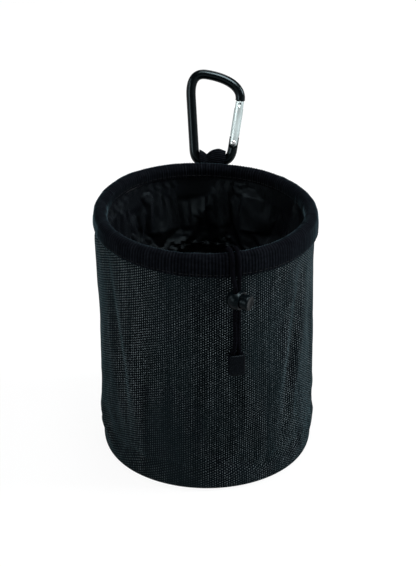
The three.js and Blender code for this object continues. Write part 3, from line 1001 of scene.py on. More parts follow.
@dataclass(frozen=True)
class BagSizes:
    """Main sizes of the bag in metres, from the frame and a few thicknesses of cloth."""

    height: float
    base_r: float
    rim_r: float
    rim_low: float
    cloth_top: float
    hem_low: float
    wall: float = 1.4 * MM
    corner: float = 1.8 * MM
    binding: float = 1.2 * MM
    roll: float = 9.1 * MM
    inside_drop: float = 9 * MM
    collar: float = 0.6 * MM
    hem: float = 13 * MM
    rim_slope: float = 2.3 * MM

    @classmethod
    def from_frame(cls) -> "BagSizes":
        """Reads the sizes from the boxes of the CAD nodes.

        Returns:
            The bag's sizes.
        """
        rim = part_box("rim_binding")
        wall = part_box("wall_panel")
        return cls(rim[1].z, wall[1].x, rim[1].x, rim[0].z, wall[1].z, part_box("collar")[0].z)

    @property
    def mouth_r(self) -> float:
        """Wall's outer radius under the binding."""
        return self.rim_r - self.binding - FIT

    @property
    def rim_inner_r(self) -> float:
        """Binding's inner radius."""
        return self.rim_r - self.roll

    @property
    def collar_r(self) -> float:
        """Middle of the collar's cloth where it leaves the binding."""
        return self.rim_inner_r + self.binding + FIT + self.collar / 2

    @property
    def inside_low(self) -> float:
        """Binding's lower edge inside."""
        return self.height - self.inside_drop

    def rim_edge(self, azimuth: float) -> float:
        """Binding's lower edge outside, which rises to the left."""
        return self.rim_low - self.rim_slope * math.sin(azimuth)

    def wall_r(self, z: float) -> float:
        """Wall's outer radius at a height."""
        share = (z - self.corner) / (self.rim_low - self.corner)
        return mix(self.base_r, self.mouth_r, min(1.0, max(0.0, share)))


@dataclass(frozen=True)
class Dent:
    """A soft hollow in the wall, in degrees and millimetres, or a swell where its depth is negative."""

    azimuth: float
    z: float
    depth: float
    half_angle: float
    half_height: float
    skew: float = 0.0

    def at(self, azimuth: float, z: float) -> float:
        """Depth of the hollow at a point of the wall.

        Args:
            azimuth: angle from the front.
            z: height over the floor.

        Returns:
            The depth in metres.
        """
        turn = math.remainder(azimuth - math.radians(self.azimuth), math.tau)
        rise = z / MM - self.z
        across = (math.degrees(turn) - self.skew * rise) / self.half_angle
        up = rise / self.half_height
        return self.depth * MM * math.exp(-across * across - up * up)


DENTS = (
    Dent(-53, 96, 2.8, 4.5, 52, -0.13),
    Dent(51, 96, 2.8, 4.5, 50, 0.13),
    Dent(-45, 92, -0.7, 4, 46, -0.13),
    Dent(43, 92, -0.7, 4, 46, 0.13),
    Dent(-62, 60, -0.5, 12, 50),
    Dent(64, 60, -0.5, 12, 50),
    Dent(-84, 146, -1.0, 30, 22),
    Dent(86, 142, 0.8, 26, 24),
    Dent(-88, 96, 1.3, 16, 16),
    Dent(90, 104, 1.0, 16, 20),
    Dent(-90, 44, 0.7, 18, 14),
    Dent(92, 58, 0.8, 15, 14),
    Dent(4, 52, -0.6, 24, 40),
    Dent(40, 122, -0.9, 6, 16, 1.3),
    Dent(34, 110, 0.7, 7, 18, 1.3),
    Dent(-30, 104, 0.7, 6, 24, -0.5),
    Dent(-20, 112, -0.6, 6, 24, -0.5),
    Dent(-14, 44, 0.5, 3.5, 34, 0.06),
    Dent(8, 60, 0.5, 3.5, 36, -0.05),
    Dent(24, 50, 0.6, 4, 38, 0.1),
    Dent(-30, 40, 0.6, 4, 34, -0.08),
    Dent(132, 70, 1.4, 9, 44),
    Dent(-136, 82, 1.3, 9, 40),
    Dent(166, 46, 0.8, 14, 26),
    Dent(-164, 110, 0.7, 12, 22),
)


@dataclass
class WallPanel:
    """The bag's wall and base in cloth, with the tapes over their seams."""

    sizes: BagSizes
    columns: int = 360
    lean: float = 1.0 * MM
    flare_front: float = 1.9 * MM
    flare_side: float = -1.2 * MM
    seam_groove: float = 0.7 * MM
    seam_half: float = 1.3 * MM
    lump: float = 0.75 * MM
    fine_lump: float = 0.35 * MM
    lumps_round: float = 2.6
    lumps_up: float = 26
    disc_columns: int = 120
    disc_lumps: float = 34
    tape: float = 0.9 * MM
    tape_back: float = 0.15 * MM
    tape_columns: int = 640
    tape_rib: float = 0.06 * MM
    back_tape: float = 14 * MM
    back_rows: int = 240
    back_rib: float = 0.05 * MM
    stitch: Span = (2.6 * MM, 0.8 * MM)
    base_stitch: Span = (2.8 * MM, 0.9 * MM)
    seam_side: float = 2.4 * MM
    tape_side: float = 5.2 * MM
    base_ring: float = 4.5 * MM
    sag_rows: int = 48
    sag_columns: int = 220
    cloth: Cloth = Cloth(slack=0.006, bending=0.4, frames=22)
    sag_in: float = 1.4 * MM
    sag_out: float = 1.0 * MM
    sag: list[list[float]] = field(default_factory=list)

    @property
    def sag_span(self) -> Span:
        """Heights between which the wall sags."""
        return 8 * MM, self.sizes.rim_low - 5 * MM

    def settle(self) -> None:
        """Lets the wall's cloth sag between the base and the binding, and keeps how far it moved."""
        heights = spread(*self.sag_span, self.sag_rows)
        start = [[self.outer(turn, z) for turn in ring(self.sag_columns)] for z in heights]
        settled = drape(start, self.cloth)
        self.sag = [
            [min(self.sag_out, max(-self.sag_in, b.xy.length - a.xy.length)) for a, b in zip(*both)]
            for both in zip(start, settled)
        ]

    def flare(self, azimuth: float) -> float:
        """How far the wall's foot stands out of round."""
        return mix(self.flare_front, self.flare_side, math.sin(azimuth) ** 6)

    def sagged(self, azimuth: float, z: float) -> float:
        """How far the settled cloth lies out of its start at a point.

        Args:
            azimuth: angle from the front.
            z: height over the floor.

        Returns:
            The distance, outwards positive.
        """
        low, high = self.sag_span
        if not self.sag or not low < z < high:
            return 0.0
        row = (z - low) / (high - low) * self.sag_rows
        column = azimuth / math.tau * self.sag_columns
        r, c = math.floor(row), math.floor(column)
        values = []
        for line in (self.sag[r], self.sag[min(r + 1, self.sag_rows)]):
            here, there = line[c % self.sag_columns], line[(c + 1) % self.sag_columns]
            values.append(mix(here, there, column - c))
        return mix(values[0], values[1], row - r)

    def give(self, azimuth: float, z: float) -> float:
        """How far the soft cloth lies out of the CAD wall at a point, outwards positive.

        Args:
            azimuth: angle from the front.
            z: height over the floor.

        Returns:
            The distance in metres.
        """
        s = self.sizes
        edge = s.rim_edge(azimuth)
        hold = ease(2 * MM, 14 * MM, z) * (1 - ease(edge - 8 * MM, edge - 1 * MM, z))
        lean = -self.lean * math.sin(azimuth) * ease(40 * MM, s.rim_low, z)
        flare = self.flare(azimuth) * (1 - ease(3 * MM, 18 * MM, z))
        wide = self.lumps_round
        spot = Vector((wide * math.sin(azimuth), wide * math.cos(azimuth), z * self.lumps_up))
        soft = self.lump * noise.noise(spot) + self.fine_lump * noise.noise(spot * 2.7)
        seam = math.remainder(azimuth - BACK, math.tau) * s.base_r / self.seam_half
        groove = self.seam_groove * math.exp(-seam * seam) * ease(3 * MM, 6 * MM, z)
        folds = soft - sum(dent.at(azimuth, z) for dent in DENTS) + self.sagged(azimuth, z)
        return folds * hold + lean + flare - groove

    def outer(self, azimuth: float, z: float, lift: float = 0.0) -> Vector:
        """Point on the wall's outer face above its lower turn."""
        return polar(self.sizes.wall_r(z) + self.give(azimuth, z) + lift, azimuth, z)

    def inner_r(self, azimuth: float, z: float) -> float:
        """Radius of the room inside the wall, where its tapes lie."""
        s = self.sizes
        return s.wall_r(z) - s.wall - FIT + self.give(azimuth, z)

    def build(self) -> Piece:
        """The wall: one closed shell that turns in under the base.

        Returns:
            The new piece.
        """
        s = self.sizes
        middle = (s.base_r - s.corner, s.corner + FIT)
        turn = [(r, z, math.radians(a)) for (r, z), a in
                zip(arc(*middle, s.corner, -90, 0, 8), spread(-90, 0, 8))]
        straight = [(s.wall_r(z), z, 0.0) for z in spread(middle[1], s.cloth_top, 84)[1:]]
        rows: Rows = []
        for depth in (0.0, s.wall):
            face = [
                [self.place(r, z, lean, depth, azimuth) for azimuth in ring(self.columns, BACK)]
                for r, z, lean in turn + straight
            ]
            rows += face if depth == 0.0 else face[::-1]
        piece = skin("wall_cloth", rows, closed=True, tube=True)
        piece.data.materials.append(WALL_CLOTH.material())
        piece.data.materials.append(WALL_BACKING.material())
        for face in piece.data.polygons:
            spot = face.center
            outer_r = s.wall_r(spot.z) + self.give(math.atan2(spot.x, -spot.y), spot.z)
            inside = math.hypot(spot.x, spot.y) < outer_r - 0.4 * s.wall
            face.material_index = int(inside and spot.z > 1.2 * s.wall)
        return piece

    def place(self, r: float, z: float, lean: float, depth: float, azimuth: float) -> Vector:
        """Point of the wall at a profile point, a depth into the cloth."""
        give = self.give(azimuth, z) - depth
        return polar(r + give * math.cos(lean), azimuth, z - depth * math.sin(lean))

    def disc(self, name: str, radius: float, low: float, thick: float, swell: float) -> Piece:
        """A round cloth panel with a soft edge and a slightly uneven face.

        Args:
            name: the piece's name.
            radius: its radius.
            low: height of its underside.
            thick: its thickness.
            swell: how uneven its face is.

        Returns:
            The new piece.
        """
        rings = [0.0, 0.12, 0.25, 0.4, 0.55, 0.7, 0.82, 0.9, 0.95, 0.98]
        edge = arc(radius - thick / 2, 0.0, thick / 2, -90, 90, 6)
        bottom = [((radius - thick / 2) * share, -thick / 2) for share in rings]
        top = [((radius - thick / 2) * share, thick / 2) for share in rings[::-1]]
        rows: Rows = []
        for r, z in bottom + edge + top:
            row: Line = []
            for azimuth in ring(self.disc_columns):
                spot = Vector((r * math.sin(azimuth), r * math.cos(azimuth), 0)) * self.disc_lumps
                rise = swell * (0.5 + 0.5 * noise.noise(spot)) * ease(radius, 0.7 * radius, r)
                reach = 1 + self.flare(azimuth) / radius
                row.append(polar(r * reach, azimuth, low + thick / 2 + z + rise))
            rows.append(row)
        return skin(name, rows, closed=True)

    def ribbed(self, name: str, ribs: Sequence[Sequence[Triple]], depth: float, whole: bool) -> Piece:
        """A ribbed tape on the inside of the wall.

        Args:
            name: the piece's name.
            ribs: azimuth, height and thickness of the points of each rib.
            depth: how far the ribs stand out and the grooves lie back.
            whole: whether the tape goes once round.

        Returns:
            The new piece.
        """
        rows: Rows = []
        painted_rib_light: list[float] = []
        for k, rib in enumerate(ribs):
            out = depth if k % 2 else -depth
            face = [polar(self.inner_r(turn, z) - thick - out, turn, z) for turn, z, thick in rib]
            back = [polar(self.inner_r(turn, z) - self.tape_back, turn, z) for turn, z, _ in rib]
            rows.append(face + back[::-1])
            # Crests get painted light, grooves painted shade.
            painted_rib_light += [float(k % 2)] * len(rows[-1])
        return skin(name, rows, closed=True, tube=whole, capped=not whole, painted_rib_light=painted_rib_light)

    def seam_tape(self) -> Piece:
        """The tape over the base seam: a ring with fine ribs.

        Returns:
            The new piece.
        """
        low, high = (end.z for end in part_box("base_seam_tape"))
        bulge = [0.75 + 0.35 * math.sin(math.pi * share) for share in spread(0, 1, 10)]
        across = [(z, self.tape * full) for z, full in zip(spread(low, high, 10), bulge)]
        ribs = [[(turn, z, thick) for z, thick in across] for turn in ring(self.tape_columns)]
        return self.ribbed("base_seam_tape_cloth", ribs, self.tape_rib, True)

    def back_seam_tape(self) -> Piece:
        """The tape up the back seam: an upright strip with fine ribs across it.

        Returns:
            The new piece.
        """
        half = self.back_tape / 2 / self.sizes.base_r
        across = [(BACK + share * half, self.tape * (1 - 0.35 * share**4)) for share in spread(-1, 1, 12)]
        heights = spread(*(end.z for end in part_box("back_seam_tape")), self.back_rows)
        ribs = [[(turn, z, thick) for turn, thick in across] for z in heights]
        return self.ribbed("back_seam_tape_cloth", ribs, self.back_rib, False)

    def stitches(self) -> Piece:
        """Stitch rows beside the back seam, outside and on its tape, and round the base lining.

        Returns:
            The new piece.
        """
        s = self.sizes
        low, high = 9 * MM, s.rim_low - 1 * MM
        tape_low, tape_high = (end.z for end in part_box("back_seam_tape"))

        def on_tape(turn: float, z: float, lift: float) -> Vector:
            """Point on the back seam's tape."""
            return polar(self.inner_r(turn, z) - self.tape - lift, turn, z)

        runs: Rows = []
        for side in (-1, 1):
            turn = BACK + side * self.seam_side / s.base_r
            runs += stitch_runs(partial(self.outer, turn), low, high, *self.stitch)
            inside = partial(on_tape, BACK + side * self.tape_side / s.base_r)
            runs += stitch_runs(inside, tape_low + 1 * MM, tape_high - 1 * MM, *self.stitch)
        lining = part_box("base_lining")[1]
        ring_r = lining.x - self.base_ring
        runs += stitch_runs(
            lambda along, lift: polar(ring_r, along / ring_r, lining.z + 0.1 * MM + lift),
            0, math.tau * ring_r, *self.base_stitch,
        )
        return threads("wall_stitching", runs)

    def dress(self) -> list[Piece]:
        """Builds the wall, the base and the tapes, and puts them in place of their solids.

        Returns:
            The dressed pieces.
        """
        self.settle()
        wall = dress(self.build(), WALL_CLOTH, "wall_cloth", Body.BAG, "wall_panel")
        panel_low, panel_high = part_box("base_panel")
        panel = self.disc("base_cloth", panel_high.x, panel_low.z, panel_high.z - panel_low.z, 0.0)
        lining_low, lining_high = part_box("base_lining")
        lining_t = lining_high.z - lining_low.z
        lining = self.disc("base_lining_cloth", lining_high.x, lining_low.z, lining_t, 0.8 * MM)
        return [
            wall,
            dress(panel, WALL_BACKING, "wall_cloth", Body.BAG, "base_panel"),
            dress(lining, NYLON, "collar_nylon", Body.BAG, "base_lining"),
            dress(self.seam_tape(), RIB_TAPE, "ribbed_tape", Body.BAG, "base_seam_tape"),
            dress(self.back_seam_tape(), RIB_TAPE, "ribbed_tape", Body.BAG, "back_seam_tape"),
            dress(self.stitches(), THREAD, "ribbed_tape", Body.BAG),
        ]


@dataclass
class Rim:
    """The padded rim: a ribbed binding rolled over the hoop and the padding."""

    sizes: BagSizes
    ribs: int = 220
    rib_depth: float = 0.36 * MM
    rib_wander: float = 0.14
    swell: float = 0.5 * MM
    lean: float = 0.9 * MM
    lift: float = 2.4 * MM
    lift_azimuth: float = math.radians(-128)
    lift_half: float = math.radians(48)
    lump: float = 0.45 * MM
    fine_lump: float = 0.3 * MM
    sway: float = 0.4 * MM
    fine_sway: float = 0.2 * MM
    edge: float = 0.45 * MM
    pad_thick: float = 3.5 * MM
    pad_corner: float = 1.0 * MM
    outer_seam: float = 2.2 * MM
    inner_seam: float = 1.6 * MM
    stitch: Span = (2.7 * MM, 0.9 * MM)

    def give(self, azimuth: float) -> Span:
        """How far the soft rim lies out of true at an azimuth: outwards and upwards.

        Args:
            azimuth: angle from the front.

        Returns:
            The two distances.
        """
        spot = Vector((1.7 * math.sin(azimuth), 1.7 * math.cos(azimuth), 4.2))
        across = math.remainder(azimuth - self.lift_azimuth, math.tau) / self.lift_half
        lumps = self.lump * noise.noise(spot) + self.fine_lump * noise.noise(spot * 4.3)
        out = lumps - self.lean * math.sin(azimuth)
        swing = self.sway * noise.noise(spot + 9 * UP) + self.fine_sway * noise.noise(spot * 5.1)
        up = swing + self.lift * math.exp(-across * across)
        return out, up

    def profile(self) -> list[tuple[float, ...]]:
        """The binding's outer face from its lower edge over the top to its inner edge.

        Returns:
            Radius, height, the outward direction's radius and height parts, and the share of the slope.
        """
        s = self.sizes
        radius = s.roll / 2
        middle = (s.rim_r - radius, s.height - radius)
        result: list[tuple[float, ...]] = []
        for share in spread(0, 1, 12)[:-1]:
            z = mix(s.rim_low, middle[1], share)
            edge = self.edge * (1 - ease(0, 0.12, share))
            result.append((s.rim_r + self.swell * math.sin(math.pi * share) - edge, z, 1.0, 0.0, 1 - share))
        for angle in spread(0, 180, 18):
            turn = math.radians(angle)
            result.append((
                middle[0] + radius * math.cos(turn), middle[1] + radius * math.sin(turn),
                math.cos(turn), math.sin(turn), 0.0,
            ))
        for share in spread(0, 1, 4)[1:]:
            result.append((s.rim_inner_r, mix(middle[1], s.inside_low, share), -1.0, 0.0, 0.0))
        return result

    def build(self) -> Piece:
        """The binding: a closed ring of cloth whose ribs run over the roll.

        Returns:
            The new piece.
        """
        outer = self.profile()
        rows: Rows = []
        painted_rib_light: list[float] = []
        draw = random.Random(7)
        half = math.pi / self.ribs
        turns = [half * (k + draw.uniform(-self.rib_wander, self.rib_wander)) for k in range(2 * self.ribs)]
        # Each crest draws a random share of painted light and each groove none, so the grooves carry
        # painted shade; the same share sets how far the crest stands out.
        crests = [0.0 if k % 2 else draw.uniform(0.7, 1.0) for k in range(2 * self.ribs)]
        for depth in (0.0, self.sizes.binding):
            face: Rows = []
            for r, z, lean_r, lean_z, low in outer:
                row: Line = []
                for azimuth, painted_crest_light in zip(turns, crests):
                    out, up = self.give(azimuth)
                    up += low * (self.sizes.rim_edge(azimuth) - self.sizes.rim_low)
                    rib = self.rib_depth * (1 - painted_crest_light) if depth == 0.0 else depth
                    row.append(polar(r + out - rib * lean_r, azimuth, z + up - rib * lean_z))
                face.append(row)
                painted_rib_light += crests
            rows += face if depth == 0.0 else face[::-1]
        return skin("rim_binding_tape", rows, closed=True, tube=True, painted_rib_light=painted_rib_light)

    def padding(self) -> Piece:
        """The foam strip inside the rim, with soft corners.

        Returns:
            The new piece.
        """
        low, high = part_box("rim_padding")
        outline = rounded((high.x - self.pad_thick, low.z), (high.x, high.z), self.pad_corner, 4)
        rows = [[polar(r, turn, z) for turn in ring(120)] for r, z in outline]
        return skin("rim_padding_foam", rows, closed=True, tube=True)

    def seam(self, radius: float, along: float, lift: float) -> Vector:
        """Point on the outer or the inner seam at a distance round the rim.

        Args:
            radius: the seam's radius.
            along: distance round the rim.
            lift: height over the cloth.

        Returns:
            The point.
        """
        s = self.sizes
        azimuth = along / radius
        out, up = self.give(azimuth)
        if radius > s.rim_inner_r:
            return polar(radius + out + lift, azimuth, s.rim_edge(azimuth) + self.outer_seam + up)
        return polar(radius + out - lift, azimuth, s.inside_low + self.inner_seam + up)

    def stitches(self) -> Piece:
        """The seams along the binding's lower edges, outside and inside.

        Returns:
            The new piece.
        """
        runs: Rows = []
        for radius in (self.sizes.rim_r + 0.1 * MM, self.sizes.rim_inner_r):
            runs += stitch_runs(partial(self.seam, radius), 0, math.tau * radius, *self.stitch)
        return threads("rim_stitching", runs)

    def dress(self) -> list[Piece]:
        """Builds the rim's pieces and puts them in place of their solids.

        Returns:
            The dressed pieces.
        """
        padding = dress(self.padding(), FOAM, "rim_padding", Body.BAG, "rim_padding")
        finish_solid("rim_hoop", HOOP_PLASTIC)
        return [
            dress(self.build(), RIB_TAPE, "ribbed_tape", Body.BAG, "rim_binding"),
            dress(self.stitches(), THREAD, "ribbed_tape", Body.BAG),
            padding,
        ]


@dataclass(frozen=True)
class CordLine:
    """Where the drawcord leaves the casing and where its two tails hang."""

    line_r: float
    lock_z: float
    end_top: float
    hem_z: float
    loop_r: float
    azimuth: float = math.radians(13.3)
    diameter: float = 2.8 * MM
    spread: float = 2.0 * MM
    twist: float = math.radians(45)
    wall_gap: float = 1 * MM

    @classmethod
    def from_frame(cls, sizes: BagSizes) -> "CordLine":
        """Reads the cord's place from the frame.

        Args:
            sizes: the bag's sizes.

        Returns:
            The cord's place.
        """
        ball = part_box("cord_lock_ball")
        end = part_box("cord_end_front")
        lock_z = (ball[0].z + ball[1].z) / 2
        ball_r = (ball[1].z - ball[0].z) / 2
        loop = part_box("drawcord_loop")
        hem_z = (loop[0].z + loop[1].z) / 2
        line_r = sizes.wall_r(lock_z) + cls.wall_gap + ball_r
        return cls(line_r, lock_z, end[1].z, hem_z, loop[1].x - cls.diameter / 2)

    def place(self) -> Matrix:
        """The pair of tails' own frame: x across, -y outwards, z up from the floor."""
        foot = Matrix.Translation(polar(self.line_r, self.azimuth, 0))
        return foot @ Matrix.Rotation(self.azimuth, 4, "Z")

    def lock(self) -> Matrix:
        """The cord lock's own frame: x along its button."""
        return self.place() @ Matrix.Translation((0, 0, self.lock_z)) @ Matrix.Rotation(-self.twist, 4, "Z")


@dataclass
class Drawcord:
    """The braided cord: its run through the casing and its two tails over the rim."""

    sizes: BagSizes
    line: CordLine
    strands: int = 4
    braid_pitch: float = 4.6 * MM
    braid_depth: float = 0.055
    rim_gap: float = 0.65 * MM
    loop_end: float = 11.7 * MM
    loop_steps: int = 420
    loop_sides: int = 12
    tail_sides: int = 24
    tail_step: float = 0.3 * MM

    def route(self, side: Side) -> Line:
        """A tail's middle from the casing over the rim to its end in the cord end.

        Args:
            side: which tail.

        Returns:
            Points along the tail.
        """
        s, c = self.sizes, self.line
        roll_r = s.rim_r - s.roll / 2
        roll_z = s.height - s.roll / 2
        over = s.roll / 2 + c.diameter / 2 + self.rim_gap
        near = c.spread
        turned = c.spread * math.cos(c.twist)
        hang_r = c.line_r - side.value * turned
        into = [(0, 11.4, 0), (-0.2, 9.2, 0), (-1.2, 7, 0), (-2.9, 5.1, 0.2), (-5, 3.6, 1.6)]
        into += [(-6.7, 2.6, 4.4), (-7.4, 2, 9), (-7, 2, 16), (-4.8, 2, 34), (-1.8, 2, 52)]
        points = [(c.loop_r + r * MM, across * MM, c.hem_z + up * MM) for r, across, up in into]
        points += [
            (roll_r - over, near, roll_z - 3 * MM),
            (roll_r - 0.83 * over, near, roll_z + 0.56 * over),
            (roll_r, near, roll_z + over),
            (roll_r + 0.83 * over, near, roll_z + 0.56 * over),
            (roll_r + 1.04 * over, near, roll_z - 3 * MM),
            (c.line_r - 2.2 * MM, near, roll_z - 8 * MM),
            (hang_r, turned, c.lock_z + 9 * MM),
            (hang_r, turned, c.lock_z + 7 * MM),
            (hang_r, turned, c.lock_z - 14 * MM),
            (hang_r, turned, c.end_top + 7 * MM),
            (c.line_r, near, c.end_top + 0.5 * MM),
            (c.line_r, near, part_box("drawcord_tail_left")[0].z),
        ]
        spots = [polar(r, c.azimuth + side.value * across / r, z) for r, across, z in points]
        return smooth_route(spots, self.tail_step)

    def braid(self, far: float, turn: float) -> float:
        """The cord's radius with the relief of its crossing strands.

        Args:
            far: distance along the cord.
            turn: angle round it.

        Returns:
            The radius there.
        """
        wind = math.tau * far / self.braid_pitch
        over = max(math.cos(self.strands * turn + wind * 2), math.cos(self.strands * turn - wind * 2))
        return self.line.diameter / 2 * (1 - self.braid_depth * (1 - over))

    def loop(self) -> Piece:
        """The cord's run through the casing.

        Returns:
            The new piece.
        """
        c = self.line
        end = self.loop_end / c.loop_r
        turns = spread(c.azimuth + end, c.azimuth + math.tau - end, self.loop_steps)
        points = [polar(c.loop_r, turn, c.hem_z) for turn in turns]
        return sweep("drawcord_run", points, self.loop_sides, lambda far, turn: c.diameter / 2, UP)

    def dress(self) -> list[Piece]:
        """Builds the cord and puts it in place of its solids.

        Returns:
            The run, the left tail and the right tail.
        """
        result = [dress(self.loop(), CORD, "drawcord", Body.BAG, "drawcord_loop")]
        for side in Side:
            word = side.name.lower()
            tail = sweep(f"drawcord_{word}", self.route(side), self.tail_sides, self.braid, UP)
            result.append(dress(tail, CORD, "drawcord", Body.BAG, f"drawcord_tail_{word}"))
        return result

    def declare(self, tails: Sequence[Piece], fittings: Sequence[Sequence[Piece]]) -> None:
        """Works out the route and the length of each tail and lists the pieces on it, but keeps none of
        them.

        Args:
            tails: the left and the right tail.
            fittings: the pieces on each of them.
        """
        c = self.line
        leave = polar(c.loop_r - c.diameter, c.azimuth, c.hem_z)
        for side, tail, pieces in zip(Side, tails, fittings):
            path = self.route(side)
            run_length(path)
            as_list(pieces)


@dataclass
class CordLock:
    """The ball lock with its push button on the two tails."""

    line: CordLine
    ball_r: float = 6.7 * MM
    face_x: float = 3.7 * MM
    button_r: float = 4.3 * MM
    head_r: float = 4.9 * MM
    head_t: float = 3.6 * MM
    travel: float = 1.2 * MM
    standoff: float = 0.8 * MM
    web: float = 0.8 * MM
    slot_half: float = 1.8 * MM
    pocket: float = 1.8 * MM
    spring_r: float = 1.6 * MM
    wire: float = 0.4 * MM
    spring_turns: int = 2
    sides: int = 72
    edge: float = 0.3 * MM
    mouth_edge: float = 0.2 * MM
    slot_edge: float = 0.22 * MM
    head_round: float = 1.1 * MM
    dish_mm: tuple[Span, ...] = ((3.0, 0.0), (2.6, 0.12), (1.4, 0.3), (0.0, 0.36))

    @property
    def inner(self) -> float:
        """Where the button ends inside the ball."""
        return -self.slot_half - self.web

    @property
    def axis(self) -> Matrix:
        """The lock's own frame with Z along its button."""
        return self.line.lock() @ Matrix.Rotation(math.radians(90), 4, "Y")

    def slot(self, low: float, high: float) -> Piece:
        """The cords' passage, with rounded ends, between two places along the button.

        Args:
            low: its start.
            high: its end.

        Returns:
            The cutter.
        """
        half = self.line.spread + self.slot_half
        round_end = min(self.slot_half, (high - low) / 2) * 0.98
        outline = rounded((low, -half), (high, half), round_end, 6)
        return prism(outline, -2 * self.ball_r, 2 * self.ball_r, self.line.lock())

    def ball(self) -> Piece:
        """The ball: flat where the button stands out, bored for it and for its spring.

        Returns:
            The new piece.
        """
        edge = math.acos(self.face_x / self.ball_r)
        edge_r = self.ball_r * math.sin(edge)
        bore_r = self.button_r + FIT
        bore_end = self.inner - self.travel - FIT
        turns = spread(math.pi, edge + 0.05, 40)
        profile = [(self.ball_r * math.sin(t), self.ball_r * math.cos(t)) for t in turns]
        profile += [(edge_r - 0.12 * MM, self.face_x - 0.06 * MM), (edge_r - 0.35 * MM, self.face_x)]
        profile += [(bore_r + self.mouth_edge, self.face_x), (bore_r, self.face_x - self.mouth_edge)]
        profile.append((bore_r, bore_end))
        pocket_r = self.spring_r + self.wire / 2 + FIT
        pocket_end = bore_end - self.pocket
        profile += [(pocket_r, bore_end), (pocket_r, pocket_end), (0.0, pocket_end)]
        piece = lathe("lock_ball", profile, self.axis, self.sides)
        carve(piece, [self.slot(-self.slot_half, self.slot_half)])
        soften(piece, self.slot_edge)
        return piece

    def button(self) -> Piece:
        """The push button: a plunger with a rounded, slightly dished head.

        Returns:
            The new piece.
        """
        head = self.face_x + self.travel + self.standoff
        top = head + self.head_t
        edge, bend, inner = self.edge, self.head_round, self.inner
        profile = [(0.0, inner), (self.button_r - edge, inner), (self.button_r, inner + edge)]
        profile += [(self.button_r, head), (self.head_r - edge, head), (self.head_r, head + edge)]
        profile += arc(self.head_r - bend, top - bend, bend, 0, 90, 8)
        profile += [(r * MM, top - deep * MM) for r, deep in self.dish_mm]
        piece = lathe("lock_button_cap", profile, self.axis, self.sides)
        carve(piece, [self.slot(-self.slot_half, self.slot_half + self.travel)])
        return piece

    def spring(self) -> Piece:
        """The spring behind the button.

        Returns:
            The dressed spring.
        """
        high = self.inner - FIT
        low = high - self.travel - self.pocket + FIT
        made = coil("lock_coil", self.axis, self.spring_r, self.wire, self.spring_turns, (low, high))
        dress(made, STEEL, "spring_steel", Body.LOCK, "cord_lock_spring")
        along = self.axis.to_3x3() @ UP
        keep = 1 - self.travel / (high - low)
        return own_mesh(made, "lock_button_press", along, self.axis @ Vector((0, 0, low)), keep)

    def dress(self) -> list[Piece]:
        """Builds the lock and puts it in place of its solids.

        Returns:
            The ball, the button and the spring.
        """
        return [
            dress(self.ball(), LOCK_PLASTIC, "lock_plastic", Body.LOCK, "cord_lock_ball"),
            dress(self.button(), LOCK_PLASTIC, "lock_plastic", Body.BUTTON, "cord_lock_button"),
            self.spring(),
        ]


@dataclass
class CordEnd:
    """The square cord end: two halves clamped on the tails."""

    line: CordLine
    width: float = 10 * MM
    tall: float = 14.5 * MM
    half: float = 2.9 * MM
    corner: float = 1.6 * MM
    floor: float = 3 * MM
    edge: float = 0.7 * MM
    inner_edge: float = 0.12 * MM
    crown: float = 0.12 * MM
    crown_in: float = 2.2 * MM
    pocket_fit: float = 0.4 * MM

    @property
    def place(self) -> Matrix:
        """The cord end's own frame, from its foot."""
        return self.line.place() @ Matrix.Translation((0, 0, self.line.end_top - self.tall))

    def outline(self, inset: float) -> Outline:
        """The end's face with round corners, drawn in by an inset.

        Args:
            inset: how far it is drawn in.

        Returns:
            Points across and up the face.
        """
        half = self.width / 2 - inset
        return rounded((-half, inset), (half, self.tall - inset), self.corner, 6)

    def build(self, name: str, way: int) -> Piece:
        """One half: a plate with a rounded outer edge and half the pocket for the cords.

        Args:
            name: the piece's name.
            way: -1 for the front half, 1 for the rear.

        Returns:
            The new piece.
        """
        near = FIT / 2
        far = near + self.half - self.edge
        depths = [(self.inner_edge, near), (0.0, near + self.inner_edge)]
        depths += [(self.edge - inset, y) for inset, y in arc(0.0, far, self.edge, 0, 90, 4)]
        depths.append((self.crown_in, near + self.half + self.crown))
        rows = [
            [self.place @ Vector((x, way * y, z)) for x, z in self.outline(inset)]
            for inset, y in depths
        ]
        piece = skin(name, rows, closed=True, capped=True)
        reach = self.line.diameter / 2 + self.pocket_fit
        wide = self.line.spread + reach
        low = (-wide, -reach, self.floor)
        high = (wide, reach, 2 * self.tall)
        carve(piece, [box_tool(low, high, self.place)])
        return piece

    def dress(self) -> list[Piece]:
        """Builds both halves and puts them in place of their solids.

        Returns:
            The front and the rear half.
        """
        halves = (("cord_end_face", -1, "cord_end_front"), ("cord_end_rear", 1, "cord_end_back"))
        return [
            dress(self.build(name, way), END_PLASTIC, "cord_end_plastic", Body.BAG, node)
            for name, way, node in halves
        ]


